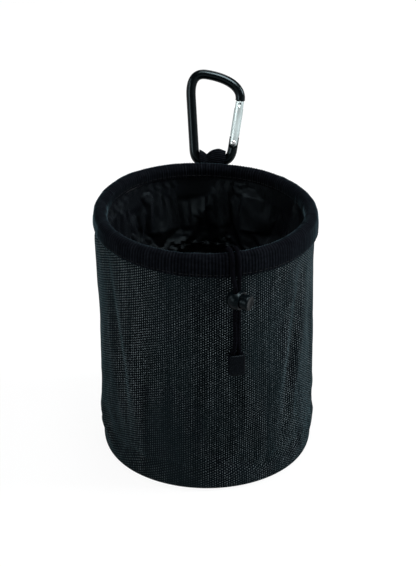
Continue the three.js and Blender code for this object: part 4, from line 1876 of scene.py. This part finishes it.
@dataclass
class Collar:
    """The drawstring collar: a gathered sleeve inside the rim, with a casing and a buttonhole."""

    sizes: BagSizes
    line: CordLine
    columns: int = 360
    rows: int = 40
    cloth: Cloth = Cloth(slack=0.1, bending=0.02, frames=24)
    fullness: float = 1.12
    waves: tuple[tuple[float, ...], ...] = ((0.5, 7, 1.1, 3), (0.32, 12, 2.3, -4), (0.18, 19, 0.4, 5))
    fold_depth: float = 3.4 * MM
    gather_depth: float = 0.28 * MM
    gathers: int = 61
    ruffle_depth: float = 0.5 * MM
    ruffles: int = 46
    buttonhole: float = 20 * MM
    buttonhole_half: float = 2 * MM
    casing_half: float = 2.1 * MM
    stitch: Span = (2.4 * MM, 0.9 * MM)

    @property
    def hem_out_r(self) -> float:
        """Outer radius of the casing's room for the cord."""
        return self.line.loop_r + self.casing_half

    def fold(self, azimuth: float, down: float) -> float:
        """How far the cloth folds inwards at a distance below the binding.

        Args:
            azimuth: angle from the front.
            down: distance below the binding.

        Returns:
            The distance, inwards positive.
        """
        drift = 0.25 * math.sin(2 * azimuth + 40 * down) + 0.18 * math.sin(3 * azimuth + 1.9)
        waves = 0.0
        for share, count, start, pull in self.waves:
            waves += share * math.sin(count * azimuth + start + pull * drift)
        depth = self.fold_depth * ease(0, 34 * MM, down) * (1 - 0.45 * ease(48 * MM, 62 * MM, down))
        gathers = self.gather_depth * math.sin(self.gathers * azimuth + 6 * drift)
        gathers *= math.exp(-down / (9 * MM))
        ruffle = self.ruffle_depth * math.sin(self.ruffles * azimuth + 9 * drift)
        ruffle *= ease(44 * MM, 58 * MM, down)
        clear = math.remainder(azimuth - self.line.azimuth, math.tau) / 0.2
        calm = 1 - math.exp(-clear * clear)
        return depth * (0.45 + 0.55 * waves) * calm + gathers + ruffle * (0.3 + 0.7 * calm)

    def middle(self, down: float) -> float:
        """The cloth's radius before folding, at a distance below the binding."""
        return mix(self.sizes.collar_r, self.hem_out_r, ease(0, 58 * MM, down))

    def at(self, azimuth: float, z: float) -> Vector:
        """Point of the sleeve before it drapes."""
        down = max(0.0, self.sizes.inside_low - z)
        return polar(self.middle(down) - self.fold(azimuth, down), azimuth, z)

    def rein(self, point: Vector, start: Vector) -> Vector:
        """Keeps a draped point between the wall and the mouth, and still beside the cord.

        Args:
            point: where the point settled.
            start: where it was before.

        Returns:
            The kept point.
        """
        s = self.sizes
        azimuth = math.atan2(point.x, -point.y)
        clear = math.remainder(azimuth - self.line.azimuth, math.tau) / 0.24
        point = point.lerp(start, math.exp(-clear * clear))
        free = s.wall_r(point.z) - s.wall - 2.2 * MM
        neck = ease(s.inside_low - 22 * MM, s.inside_low - 12 * MM, point.z)
        outer = mix(free, s.collar_r + 0.1 * MM, neck)
        r = math.hypot(point.x, point.y)
        return polar(min(outer, max(self.line.loop_r - 7 * MM, r)), math.atan2(point.x, -point.y), point.z)

    def sleeve(self) -> Rows:
        """The middle of the sleeve's cloth from the binding down to the casing, row by row.

        Returns:
            The rows, from the top.
        """
        s = self.sizes
        heights = spread(s.inside_low, s.hem_low + s.hem, self.rows)
        start = [[self.at(turn, z) for turn in ring(self.columns)] for z in heights]
        settled = drape(start, self.cloth)
        inner = [[self.rein(*pair) for pair in zip(*both)] for both in zip(settled[1:-1], start[1:-1])]
        return [start[0], *inner, start[-1]]

    def hem(self, azimuth: float) -> Line:
        """The casing's outline at an azimuth, from its outer seam round its foot to its inner seam.

        Args:
            azimuth: angle from the front.

        Returns:
            Points of the outline.
        """
        s = self.sizes
        half = s.collar / 2
        hem_top = s.hem_low + s.hem
        bend = self.casing_half + half
        middle_r = self.line.loop_r - self.fold(azimuth, s.inside_low - s.hem_low - s.hem / 2)
        low = s.hem_low + bend
        heights = spread(hem_top, low, 6)[1:-1]
        outline = [polar(middle_r + bend * self.plump(z), azimuth, z) for z in heights]
        outline += [polar(r, azimuth, z) for r, z in arc(middle_r, low, bend, 0, -180, 10)]
        dimple = self.dimple(azimuth)
        edge = self.buttonhole_half
        for z in spread(low, hem_top - 1.6 * MM, 8)[1:]:
            hole = dimple * (1 - ease(edge * 0.8, edge * 1.25, abs(z - self.line.hem_z)))
            outline.append(polar(middle_r - bend * self.plump(z) + 1.3 * MM * hole, azimuth, z))
        seam = self.at(azimuth, hem_top - 0.5 * MM)
        outline.append(seam + polar(-half - 0.5 * MM, azimuth, 0))
        return outline

    def plump(self, z: float) -> float:
        """How full the casing is at a height, from flat at its seam to round at its foot."""
        s = self.sizes
        return mix(1.0, 0.55, ease(s.hem_low + 0.55 * s.hem, s.hem_low + s.hem, z))

    def dimple(self, azimuth: float) -> float:
        """How open the buttonhole is at an azimuth."""
        across = abs(math.remainder(azimuth - self.line.azimuth, math.tau)) * self.line.loop_r
        return 1 - ease(0.42 * self.buttonhole, 0.52 * self.buttonhole, across)

    def build(self) -> Piece:
        """The collar as one closed cloth.

        Returns:
            The new piece.
        """
        s = self.sizes
        half = s.collar / 2
        rows = self.sleeve()
        count = self.columns
        sections: Rows = []
        for k, turn in enumerate(ring(count)):
            neck_r = self.middle(0) - self.fold(turn, 0)
            neck = [polar(neck_r, turn, z) for z in spread(s.cloth_top, s.inside_low, 2)[:-1]]
            outer = [point + polar(half, turn, 0) for point in neck]
            inner = [point - polar(half, turn, 0) for point in neck]
            for i, row in enumerate(rows):
                across = row[(k + 1) % count] - row[k - 1]
                down = rows[min(i + 1, len(rows) - 1)][k] - rows[max(i - 1, 0)][k]
                out = down.cross(across).normalized()
                if out.dot(polar(1, turn, 0)) < 0:
                    out = -out
                outer.append(row[k] + out * half)
                inner.append(row[k] - out * half)
            sections.append(outer + self.hem(turn) + inner[::-1])
        return skin("collar_cloth", sections, closed=True, tube=True)

    def stitches(self) -> Piece:
        """The casing's seam and the buttonhole's sewn edge.

        Returns:
            The new piece.
        """
        s, c = self.sizes, self.line
        z = s.hem_low + s.hem - 1.1 * MM
        down = s.inside_low - z

        def seam(along: float, lift: float) -> Vector:
            """Point on the casing's seam at a distance round the collar."""
            azimuth = along / c.loop_r
            return polar(self.middle(down) - self.fold(azimuth, down) - 0.95 * MM - lift, azimuth, z)

        runs = stitch_runs(seam, 0, math.tau * c.loop_r, *self.stitch)
        half_w, half_h = self.buttonhole / 2, self.buttonhole_half * 1.1
        bend = self.casing_half + s.collar / 2
        for turn in ring(72):
            end = math.copysign(max(0.0, half_w - half_h), math.cos(turn))
            run: Line = []
            for reach, lift in ((-0.5, -0.2), (0.0, 0.22), (0.6, 0.22), (1.1, -0.2)):
                across = end + (half_h + reach * MM) * math.cos(turn)
                up = (half_h + reach * MM) * math.sin(turn)
                azimuth = c.azimuth + across / c.loop_r
                shift = self.fold(azimuth, s.inside_low - s.hem_low - s.hem / 2)
                run.append(polar(c.loop_r - shift - bend - lift * MM, azimuth, c.hem_z + up))
            runs.append(run)
        return threads("collar_stitching", runs)

    def dress(self) -> list[Piece]:
        """Builds the collar and puts it in place of its solid.

        Returns:
            The dressed pieces.
        """
        cloth = dress(self.build(), NYLON, "collar_nylon", Body.BAG, "collar")
        return [cloth, dress(self.stitches(), THREAD, "ribbed_tape", Body.BAG)]


@dataclass
class HangingLoop:
    """The tape loop behind the rim that holds the carabiner's bar."""

    sizes: BagSizes
    bar: Vector
    leg_w: float = 19 * MM
    eye_w: float = 16.2 * MM
    thick: float = 1.2 * MM
    clearance: float = 1.4 * MM
    rod_r: float = 3.35 * MM
    left_w: float = 8.8 * MM
    right_w: float = 9.7 * MM
    fold_at: float = -0.42
    left_wing: float = 4.2 * MM
    right_wing: float = 4.6 * MM
    foot: float = -1.5 * MM
    eye_end: float = -65.0
    rib: float = 0.07 * MM

    def rise(self, share: float) -> float:
        """How high the tape stands over the bar at a share of its width, on both sides of its fold.

        Args:
            share: place across the tape, -1 to 1.

        Returns:
            The height.
        """
        if share < self.fold_at:
            return self.left_wing * ((self.fold_at - share) / (self.fold_at + 1)) ** 0.8
        part = (share - self.fold_at) / (1 - self.fold_at)
        return self.right_wing * (1 - (1 - part) ** 3.5) * (1 - 0.35 * ease(0.6, 1.0, part))

    def line(self, share: float) -> Line:
        """The tape's middle across its thickness at a share of its width, from foot to foot.

        Args:
            share: place across the tape, -1 to 1.

        Returns:
            Points along the tape.
        """
        s = self.sizes
        leg_x = share * self.leg_w / 2
        front = math.sqrt(s.rim_r**2 - (self.bar.x + leg_x) ** 2) + FIT + self.thick / 2
        back = front + self.thick + FIT
        radius = self.rod_r + self.clearance + self.thick / 2
        eye_z = self.bar.z - self.clearance + FIT
        rise = self.rise(share)
        eye = [
            (y, z + rise * max(0.0, (z - eye_z) / radius))
            for y, z in arc(self.bar.y, eye_z, radius, 180, self.eye_end, 20)
        ]
        wide = self.right_w if share > 0 else self.left_w
        end_y, end_z = eye[-1]
        join = end_z + (end_y - back) / math.tan(math.radians(self.eye_end))
        foot = s.rim_low + self.foot
        flat = [(front, foot), (front, mix(foot, join, 0.5)), (front, join), *eye]
        flat += [(back + 0.4 * MM, join), (back, mix(join, foot, 0.5)), (back, foot)]
        points: Line = []
        for y, z in flat:
            drawn = ease(join - 2 * MM, end_z + 0.5 * MM, z)
            eye_half = mix(self.eye_w / 2, wide, ease(eye_z + 0.5 * radius, eye_z + radius, z))
            points.append(Vector((self.bar.x + share * mix(self.leg_w / 2, eye_half, drawn), y, z)))
        return smooth_route(points, 0.35 * MM)

    def build(self) -> Piece:
        """The tape as one closed strip with ribs across it.

        Returns:
            The new piece.
        """
        shares = spread(-1, 1, 30)
        lines = [self.line(share) for share in shares]
        count = max(len(line) for line in lines)
        lines = [resample(line, run_length(line) / (count - 1)) for line in lines]
        count = min(len(line) for line in lines)
        rows: Rows = []
        painted_rib_light: list[float] = []
        for i in range(count):
            ridge = self.rib if i % 4 < 2 else -self.rib
            # Ribs get painted light, the rows between them painted shade.
            painted_rib_light += [float(i % 4 < 2)] * (2 * len(shares))
            near: Line = []
            far: Line = []
            for share, line in zip(shares, lines):
                along = (line[min(i + 1, count - 1)] - line[max(i - 1, 0)]).normalized()
                out = Vector((0, -along.z, along.y)).normalized()
                half = self.thick / 2 * (1 - 0.45 * abs(share) ** 8)
                near.append(line[i] + out * (half + ridge))
                far.append(line[i] - out * (half + ridge))
            rows.append(near + far[::-1])
        return skin("hanging_loop_tape", rows, closed=True, capped=True, painted_rib_light=painted_rib_light)

    def stitches(self) -> Piece:
        """Two tacks of close threads that hold the tape's feet to the binding.

        Returns:
            The new piece.
        """
        s = self.sizes
        runs: Rows = []
        for z in (s.rim_low + self.foot + 1.2 * MM, s.rim_low + self.foot + 3.6 * MM):
            for k, share in enumerate(spread(-0.9, 0.9, 44)):
                x = self.bar.x + share * self.leg_w / 2
                y = math.sqrt(s.rim_r**2 - x**2) + 2 * FIT + 2 * self.thick
                lean = 0.25 * MM if k % 2 else -0.25 * MM
                steps = ((-1, -0.2, -0.9), (-0.6, 0.14, -0.6), (0.6, 0.14, 0.6), (1, -0.2, 0.9))
                run = [Vector((x + side * lean, y + out * MM, z + up * MM)) for side, out, up in steps]
                runs.append(run)
        return threads("loop_stitching", runs, 0.2 * MM)

    def dress(self) -> list[Piece]:
        """Builds the loop and puts it in place of its solid.

        Returns:
            The dressed pieces.
        """
        return [
            dress(self.build(), RIB_TAPE, "ribbed_tape", Body.BAG, "hanging_loop"),
            dress(self.stitches(), THREAD, "ribbed_tape", Body.BAG),
        ]


@dataclass
class Carabiner:
    """The bent rod and its sprung gate."""

    bar: Vector
    rod_r: float = 3.35 * MM
    tilt: float = math.radians(20)
    lean: float = math.radians(8.8)
    pivot: Span = (15.2 * MM, 13 * MM)
    gate_l: float = 29.3 * MM
    gate_r: float = 3.2 * MM
    gap: float = 0.4 * MM
    tang_t: float = 3.2 * MM
    tang_h: float = 3.2 * MM
    tongue: Triple = (2.6 * MM, 1.2 * MM, 4.6 * MM)
    notch: float = 1.2 * MM
    latch_from_tip: float = 2.6 * MM
    fork_floor: float = 4.7 * MM
    spring_low: float = 8.8 * MM
    spring_l: float = 8.6 * MM
    spring_r: float = 1.15 * MM
    wire: float = 0.5 * MM
    spring_turns: int = 7
    plunger_travel: float = 1.2 * MM
    bar_half: float = 6 * MM
    foot: Span = (-12.5 * MM, 8.5 * MM)
    top: Span = (-14.6 * MM, 45.4 * MM)
    crown: Span = (-4 * MM, 60.4 * MM)
    crown_slope: float = 0.14
    crown_l: float = 9 * MM
    nose_l: float = 12 * MM
    rivet_r: float = 1.0 * MM
    rivet_head: float = 1.7 * MM
    rivet_hole: float = 1.3 * MM
    latch_hole: float = 1.1 * MM
    spring_bore: float = 1.9 * MM
    rod_edge: float = 0.3 * MM
    gate_edge: float = 0.2 * MM

    @property
    def place(self) -> Matrix:
        """The carabiner's own frame: x to its gate, z up its plane."""
        return Matrix.Translation(self.bar) @ Matrix.Rotation(-self.tilt, 4, "X")

    @property
    def gate_place(self) -> Matrix:
        """The gate's own frame: z along it from its pivot."""
        foot = Matrix.Translation((self.pivot[0], 0, self.pivot[1]))
        return self.place @ foot @ Matrix.Rotation(self.lean, 4, "Y")

    def on_gate(self, along: float) -> Span:
        """Point of the carabiner's plane on the gate's line."""
        return self.pivot[0] + along * math.sin(self.lean), self.pivot[1] + along * math.cos(self.lean)

    def path(self) -> Line:
        """The rod's middle from the tang round to the nose.

        Returns:
            Points along the rod.
        """
        arm = self.on_gate(-self.gate_r - self.gap - 1.2 * MM)
        right = self.on_gate(-self.pivot[1] / math.cos(self.lean))
        bar, foot, top, crown = self.bar_half, self.foot, self.top, self.crown
        left = (foot[0] - (top[0] - foot[0]) / (top[1] - foot[1]) * foot[1], 0.0)
        corner_x = top[0] - 0.8 * MM
        corner = (corner_x, crown[1] + self.crown_slope * (crown[0] - corner_x))
        nose = self.on_gate(self.gate_l + self.gap)
        shoulder = (crown[0] + self.crown_l, crown[1] - self.crown_slope * self.crown_l)
        pieces: list[tuple[Span, ...]] = [
            (self.on_gate(self.tang_h + 1 * MM), arm), (arm, right, (bar, 0.0)), ((bar, 0.0), (-bar, 0.0)),
            ((-bar, 0.0), left, foot), (foot, top), (top, corner, crown),
            (crown, shoulder, self.on_gate(self.gate_l + self.gap + self.nose_l), nose),
        ]
        points: Line = []
        for ends in pieces:
            for share in spread(0, 1, 40)[:-1]:
                level = [Vector((u, 0.0, v)) for u, v in ends]
                while len(level) > 1:
                    level = [a.lerp(b, share) for a, b in zip(level, level[1:])]
                points.append(level[0])
        points.append(Vector((nose[0], 0.0, nose[1])))
        return [self.place @ point for point in resample(points, 0.7 * MM)]

    def pin(self, radius: float, half: float, z: float) -> Piece:
        """A round cutter across the gate at a height on its line."""
        across = self.gate_place @ Matrix.Translation((0, 0, z)) @ Matrix.Rotation(math.radians(90), 4, "X")
        return lathe("tool", [(0, -half), (radius, -half), (radius, half), (0, half)], across, 24)

    def body(self) -> Piece:
        """The rod with its flat tang below and its hooked tongue above the gate.

        Returns:
            The new piece.
        """
        up = self.place.to_3x3() @ Vector((0, 1, 0))
        rod = sweep("carabiner_rod", self.path(), 36, lambda far, turn: self.rod_r, up)
        wide, top, low = 2 * self.rod_r, 3 * self.tang_h, -self.gate_r - self.gap
        half = self.tang_t / 2
        tools = [
            box_tool((-wide, half, low), (wide, wide, top), self.gate_place),
            box_tool((-wide, -wide, low), (wide, -half, top), self.gate_place),
        ]
        carve(rod, tools)
        carve(rod, [self.pin(self.rivet_hole, self.rod_r, 0.0)])
        reach, thick, length = self.tongue
        foot = (-reach, -thick, self.gate_l - length)
        head = (reach, thick, self.gate_l + self.gap + 1 * MM)
        tongue = box_tool(foot, head, self.gate_place)
        latch = self.gate_l - self.latch_from_tip
        notch_low = (-wide, -wide, latch - self.notch)
        notch_high = (self.notch, wide, latch + self.notch)
        carve(tongue, [box_tool(notch_low, notch_high, self.gate_place)])
        carve(rod, [tongue], join=True)
        soften(rod, self.rod_edge)
        return rod

    def gate(self) -> Piece:
        """The gate: a round bar with a domed foot, forked over the tang and the tongue.

        Returns:
            The new piece.
        """
        r, l = self.gate_r, self.gate_l
        profile = arc(0.0, 0.0, r, -90, 0, 14)
        profile += [(r, l * share) for share in spread(0, 1, 24)[1:-1]]
        profile += [(r, l - 0.3 * MM), (r - 0.3 * MM, l), (0.0, l)]
        piece = lathe("carabiner_gate_bar", profile, self.gate_place, 48)
        fork = self.tang_t / 2 + FIT
        tip = self.tongue[1] + FIT
        wide = 2 * r
        carve(piece, [
            box_tool((-wide, -fork, -wide), (wide, fork, self.fork_floor), self.gate_place),
            box_tool((-wide, -tip, l - self.tongue[2] - 2 * FIT), (wide, tip, 2 * l), self.gate_place),
            self.pin(self.rivet_hole, wide, 0.0),
            self.pin(self.latch_hole, wide, l - self.latch_from_tip),
        ])
        bore_r, bore_top = self.spring_bore, self.spring_low + self.spring_l + FIT
        bore = [(0.0, 0.0), (bore_r, 0.0), (bore_r, bore_top), (0.0, bore_top)]
        carve(piece, [lathe("tool", bore, self.gate_place, 24)])
        soften(piece, self.gate_edge)
        return piece

    def rivet(self) -> Piece:
        """The pivot's rivet with domed heads.

        Returns:
            The new piece.
        """
        half = self.gate_r + FIT
        head, pin = self.rivet_head, self.rivet_r
        turns = [math.radians(angle) for angle in spread(0, 90, 6)]
        dome = [(head * math.cos(t), half + (0.15 + 0.55 * math.sin(t)) * MM) for t in turns]
        shank = [(head, -half), (pin, -half), (pin, half), (head, half)]
        profile = [(r, -y) for r, y in dome[::-1]] + shank + dome
        across = self.gate_place @ Matrix.Rotation(math.radians(90), 4, "X")
        return lathe("gate_rivet", profile, across, 36)

    def spring(self) -> Piece:
        """The spring in the gate.

        Returns:
            The dressed spring.
        """
        high = self.spring_low + self.spring_l
        size = (self.spring_r, self.wire, self.spring_turns)
        made = coil("gate_coil", self.gate_place, *size, (self.spring_low, high))
        dress(made, STEEL, "spring_steel", Body.GATE, "gate_spring")
        along = self.gate_place.to_3x3() @ UP
        keep = 1 - self.plunger_travel / self.spring_l
        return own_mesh(made, "gate_plunger_push", along, self.gate_place @ Vector((0, 0, high)), keep)

    def dress(self) -> list[Piece]:
        """Builds the carabiner and puts it in place of its solids.

        Returns:
            The dressed pieces.
        """
        for name in ("gate_latch_pin", "gate_plunger"):
            finish_solid(name, STEEL)
        return [
            dress(self.body(), BLACK_ROD, "black_rod", Body.CARABINER, "carabiner_body"),
            dress(self.gate(), BRIGHT_GATE, "bright_gate", Body.GATE, "carabiner_gate"),
            dress(self.rivet(), STEEL, "spring_steel", Body.GATE, "gate_pivot_rivet"),
            self.spring(),
        ]


@dataclass(frozen=True)
class Lamp:
    """A square soft light, or a board that only mirrors see."""

    name: str
    spot: Triple
    side: float
    power: float
    colour: Colour = (1, 1, 1)
    only_gloss: bool = False


@dataclass
class Studio:
    """The camera, the floor and the lights."""

    elevation: float = math.radians(30)
    distance: float = 0.888
    target: Vector = field(default_factory=lambda: Vector((0, 0, 0.0862)))
    lens: float = 82.67
    sensor: float = 36
    pitch: float = math.radians(1.606)
    yaw: float = math.radians(-0.05)
    floor_half: float = 4
    floor_colour: Colour = (0.85, 0.85, 0.85)
    floor_white: float = 0.9
    sky_colour: Colour = (0.94, 0.97, 1.0)
    sky_strength: float = 0.3
    sky_edge: Span = (0.1, 0.4)
    sky_range: Span = (1.0, 0.1)
    lamps: tuple[Lamp, ...] = (
        Lamp("top", (0.0, -0.1, 2.0), 0.9, 25),
        Lamp("left", (-1.5, -0.15, 0.9), 0.5, 7, (0.95, 0.98, 1.0)),
        Lamp("right", (1.5, 0.05, 0.9), 0.5, 36, (0.93, 0.97, 1.0)),
        Lamp("rear", (0.2, 1.5, 1.2), 0.9, 9, (0.95, 0.98, 1.0)),
        Lamp("left board", (-1.15, -0.9, 0.6), 0.6, 11, only_gloss=True),
        Lamp("high board", (0.7, -0.45, 1.95), 1.0, 130, only_gloss=True),
    )

    def camera(self) -> None:
        """Puts the camera where the photo was taken from."""
        data = bpy.data.cameras.new("camera")
        data.lens = self.lens
        data.sensor_width = self.sensor
        eye = bpy.data.objects.new("camera", data)
        away = Vector((0, -math.cos(self.elevation), math.sin(self.elevation)))
        eye.location = self.target + away * self.distance
        eye.rotation_euler = (math.pi / 2 - self.elevation + self.pitch, 0, self.yaw)
        bpy.context.scene.collection.objects.link(eye)
        bpy.context.scene.camera = eye

    def floor(self) -> None:
        """A pale floor that reads white to the camera and keeps a soft shadow."""
        edges = (-self.floor_half, self.floor_half)
        plane = skin("floor", [[Vector((x, y, 0)) for x in edges] for y in edges])
        graph = Graph.start(bpy.data.materials.new("pale_floor"))
        graph.set(Base_Color=(*self.floor_colour, 1), Roughness=0.9, Specular_IOR_Level=0.0)
        glow = graph.node("Emission", Color=(1, 1, 1, 1), Strength=1.0).outputs[0]
        share = graph.math("MULTIPLY", graph.seen_ray(), self.floor_white)
        graph.mix_out(share, graph.shader.outputs[0], glow)
        plane.data.materials.append(graph.owner)

    def light(self) -> None:
        """Soft lamps that point at the bag."""
        for lamp in self.lamps:
            data = bpy.data.lights.new(lamp.name, "AREA")
            data.size = lamp.side
            data.energy = lamp.power
            data.color = lamp.colour
            obj = bpy.data.objects.new(lamp.name, data)
            obj.location = lamp.spot
            obj.rotation_euler = (self.target - Vector(lamp.spot)).to_track_quat("-Z", "Y").to_euler()
            obj.visible_diffuse = not lamp.only_gloss
            bpy.context.scene.collection.objects.link(obj)

    def surround(self) -> None:
        """A world that the camera and mirrors see white round the horizon, and that is dim to the rest."""
        graph = Graph.start(bpy.data.worlds.new("studio"), "Background", "World Output")
        graph.set(Color=(*self.sky_colour, 1), Strength=self.sky_strength)
        rise = graph.axes(graph.node("TexCoord").outputs["Generated"])[2]
        fade = graph.step(rise, self.sky_edge, self.sky_range)
        white = graph.node("Background", Color=(1, 1, 1, 1), Strength=fade).outputs[0]
        graph.mix_out(graph.seen_ray(), graph.shader.outputs[0], white)
        bpy.context.scene.world = graph.owner

    def set_up(self) -> None:
        """Makes the camera, the floor, the lights and the surroundings."""
        bpy.context.scene.view_settings.view_transform = "Standard"
        self.camera()
        self.floor()
        self.light()
        self.surround()


def joint_place(name: str) -> Vector:
    """Where a joint of the record lies."""
    joints = frame["record"]["behaviour"]["joints"]
    return next(Vector(joint["pos_m"]) for joint in joints if joint["name"] == name)


def report(title: str, pieces: Iterable[Piece]) -> None:
    """Logs the pieces of a sub-assembly."""
    for piece in pieces:
        log.info("%s: %s, %d faces", title, piece.name, len(piece.data.polygons))


def main() -> None:
    """Builds the studio and the bag, piece by piece."""
    logging.basicConfig(level=logging.INFO, format="%(message)s")
    Studio().set_up()
    sizes = BagSizes.from_frame()
    line = CordLine.from_frame(sizes)
    bar = joint_place("carabiner_swing")

    cord = Drawcord(sizes, line)
    cords = cord.dress()
    report("drawcord", cords)
    lock = CordLock(line).dress()
    report("cord lock", lock)
    ends = CordEnd(line).dress()
    report("cord end", ends)
    cord.declare(cords[1:], [[ends[0], lock[0], lock[2]], [ends[1], lock[1]]])
    report("wall", WallPanel(sizes).dress())
    report("rim", Rim(sizes).dress())
    report("collar", Collar(sizes, line).dress())
    report("hanging loop", HangingLoop(sizes, bar).dress())
    report("carabiner", Carabiner(bar).dress())
    finish_solid("base_board", BOARD)


if __name__ == "__main__":
    main()
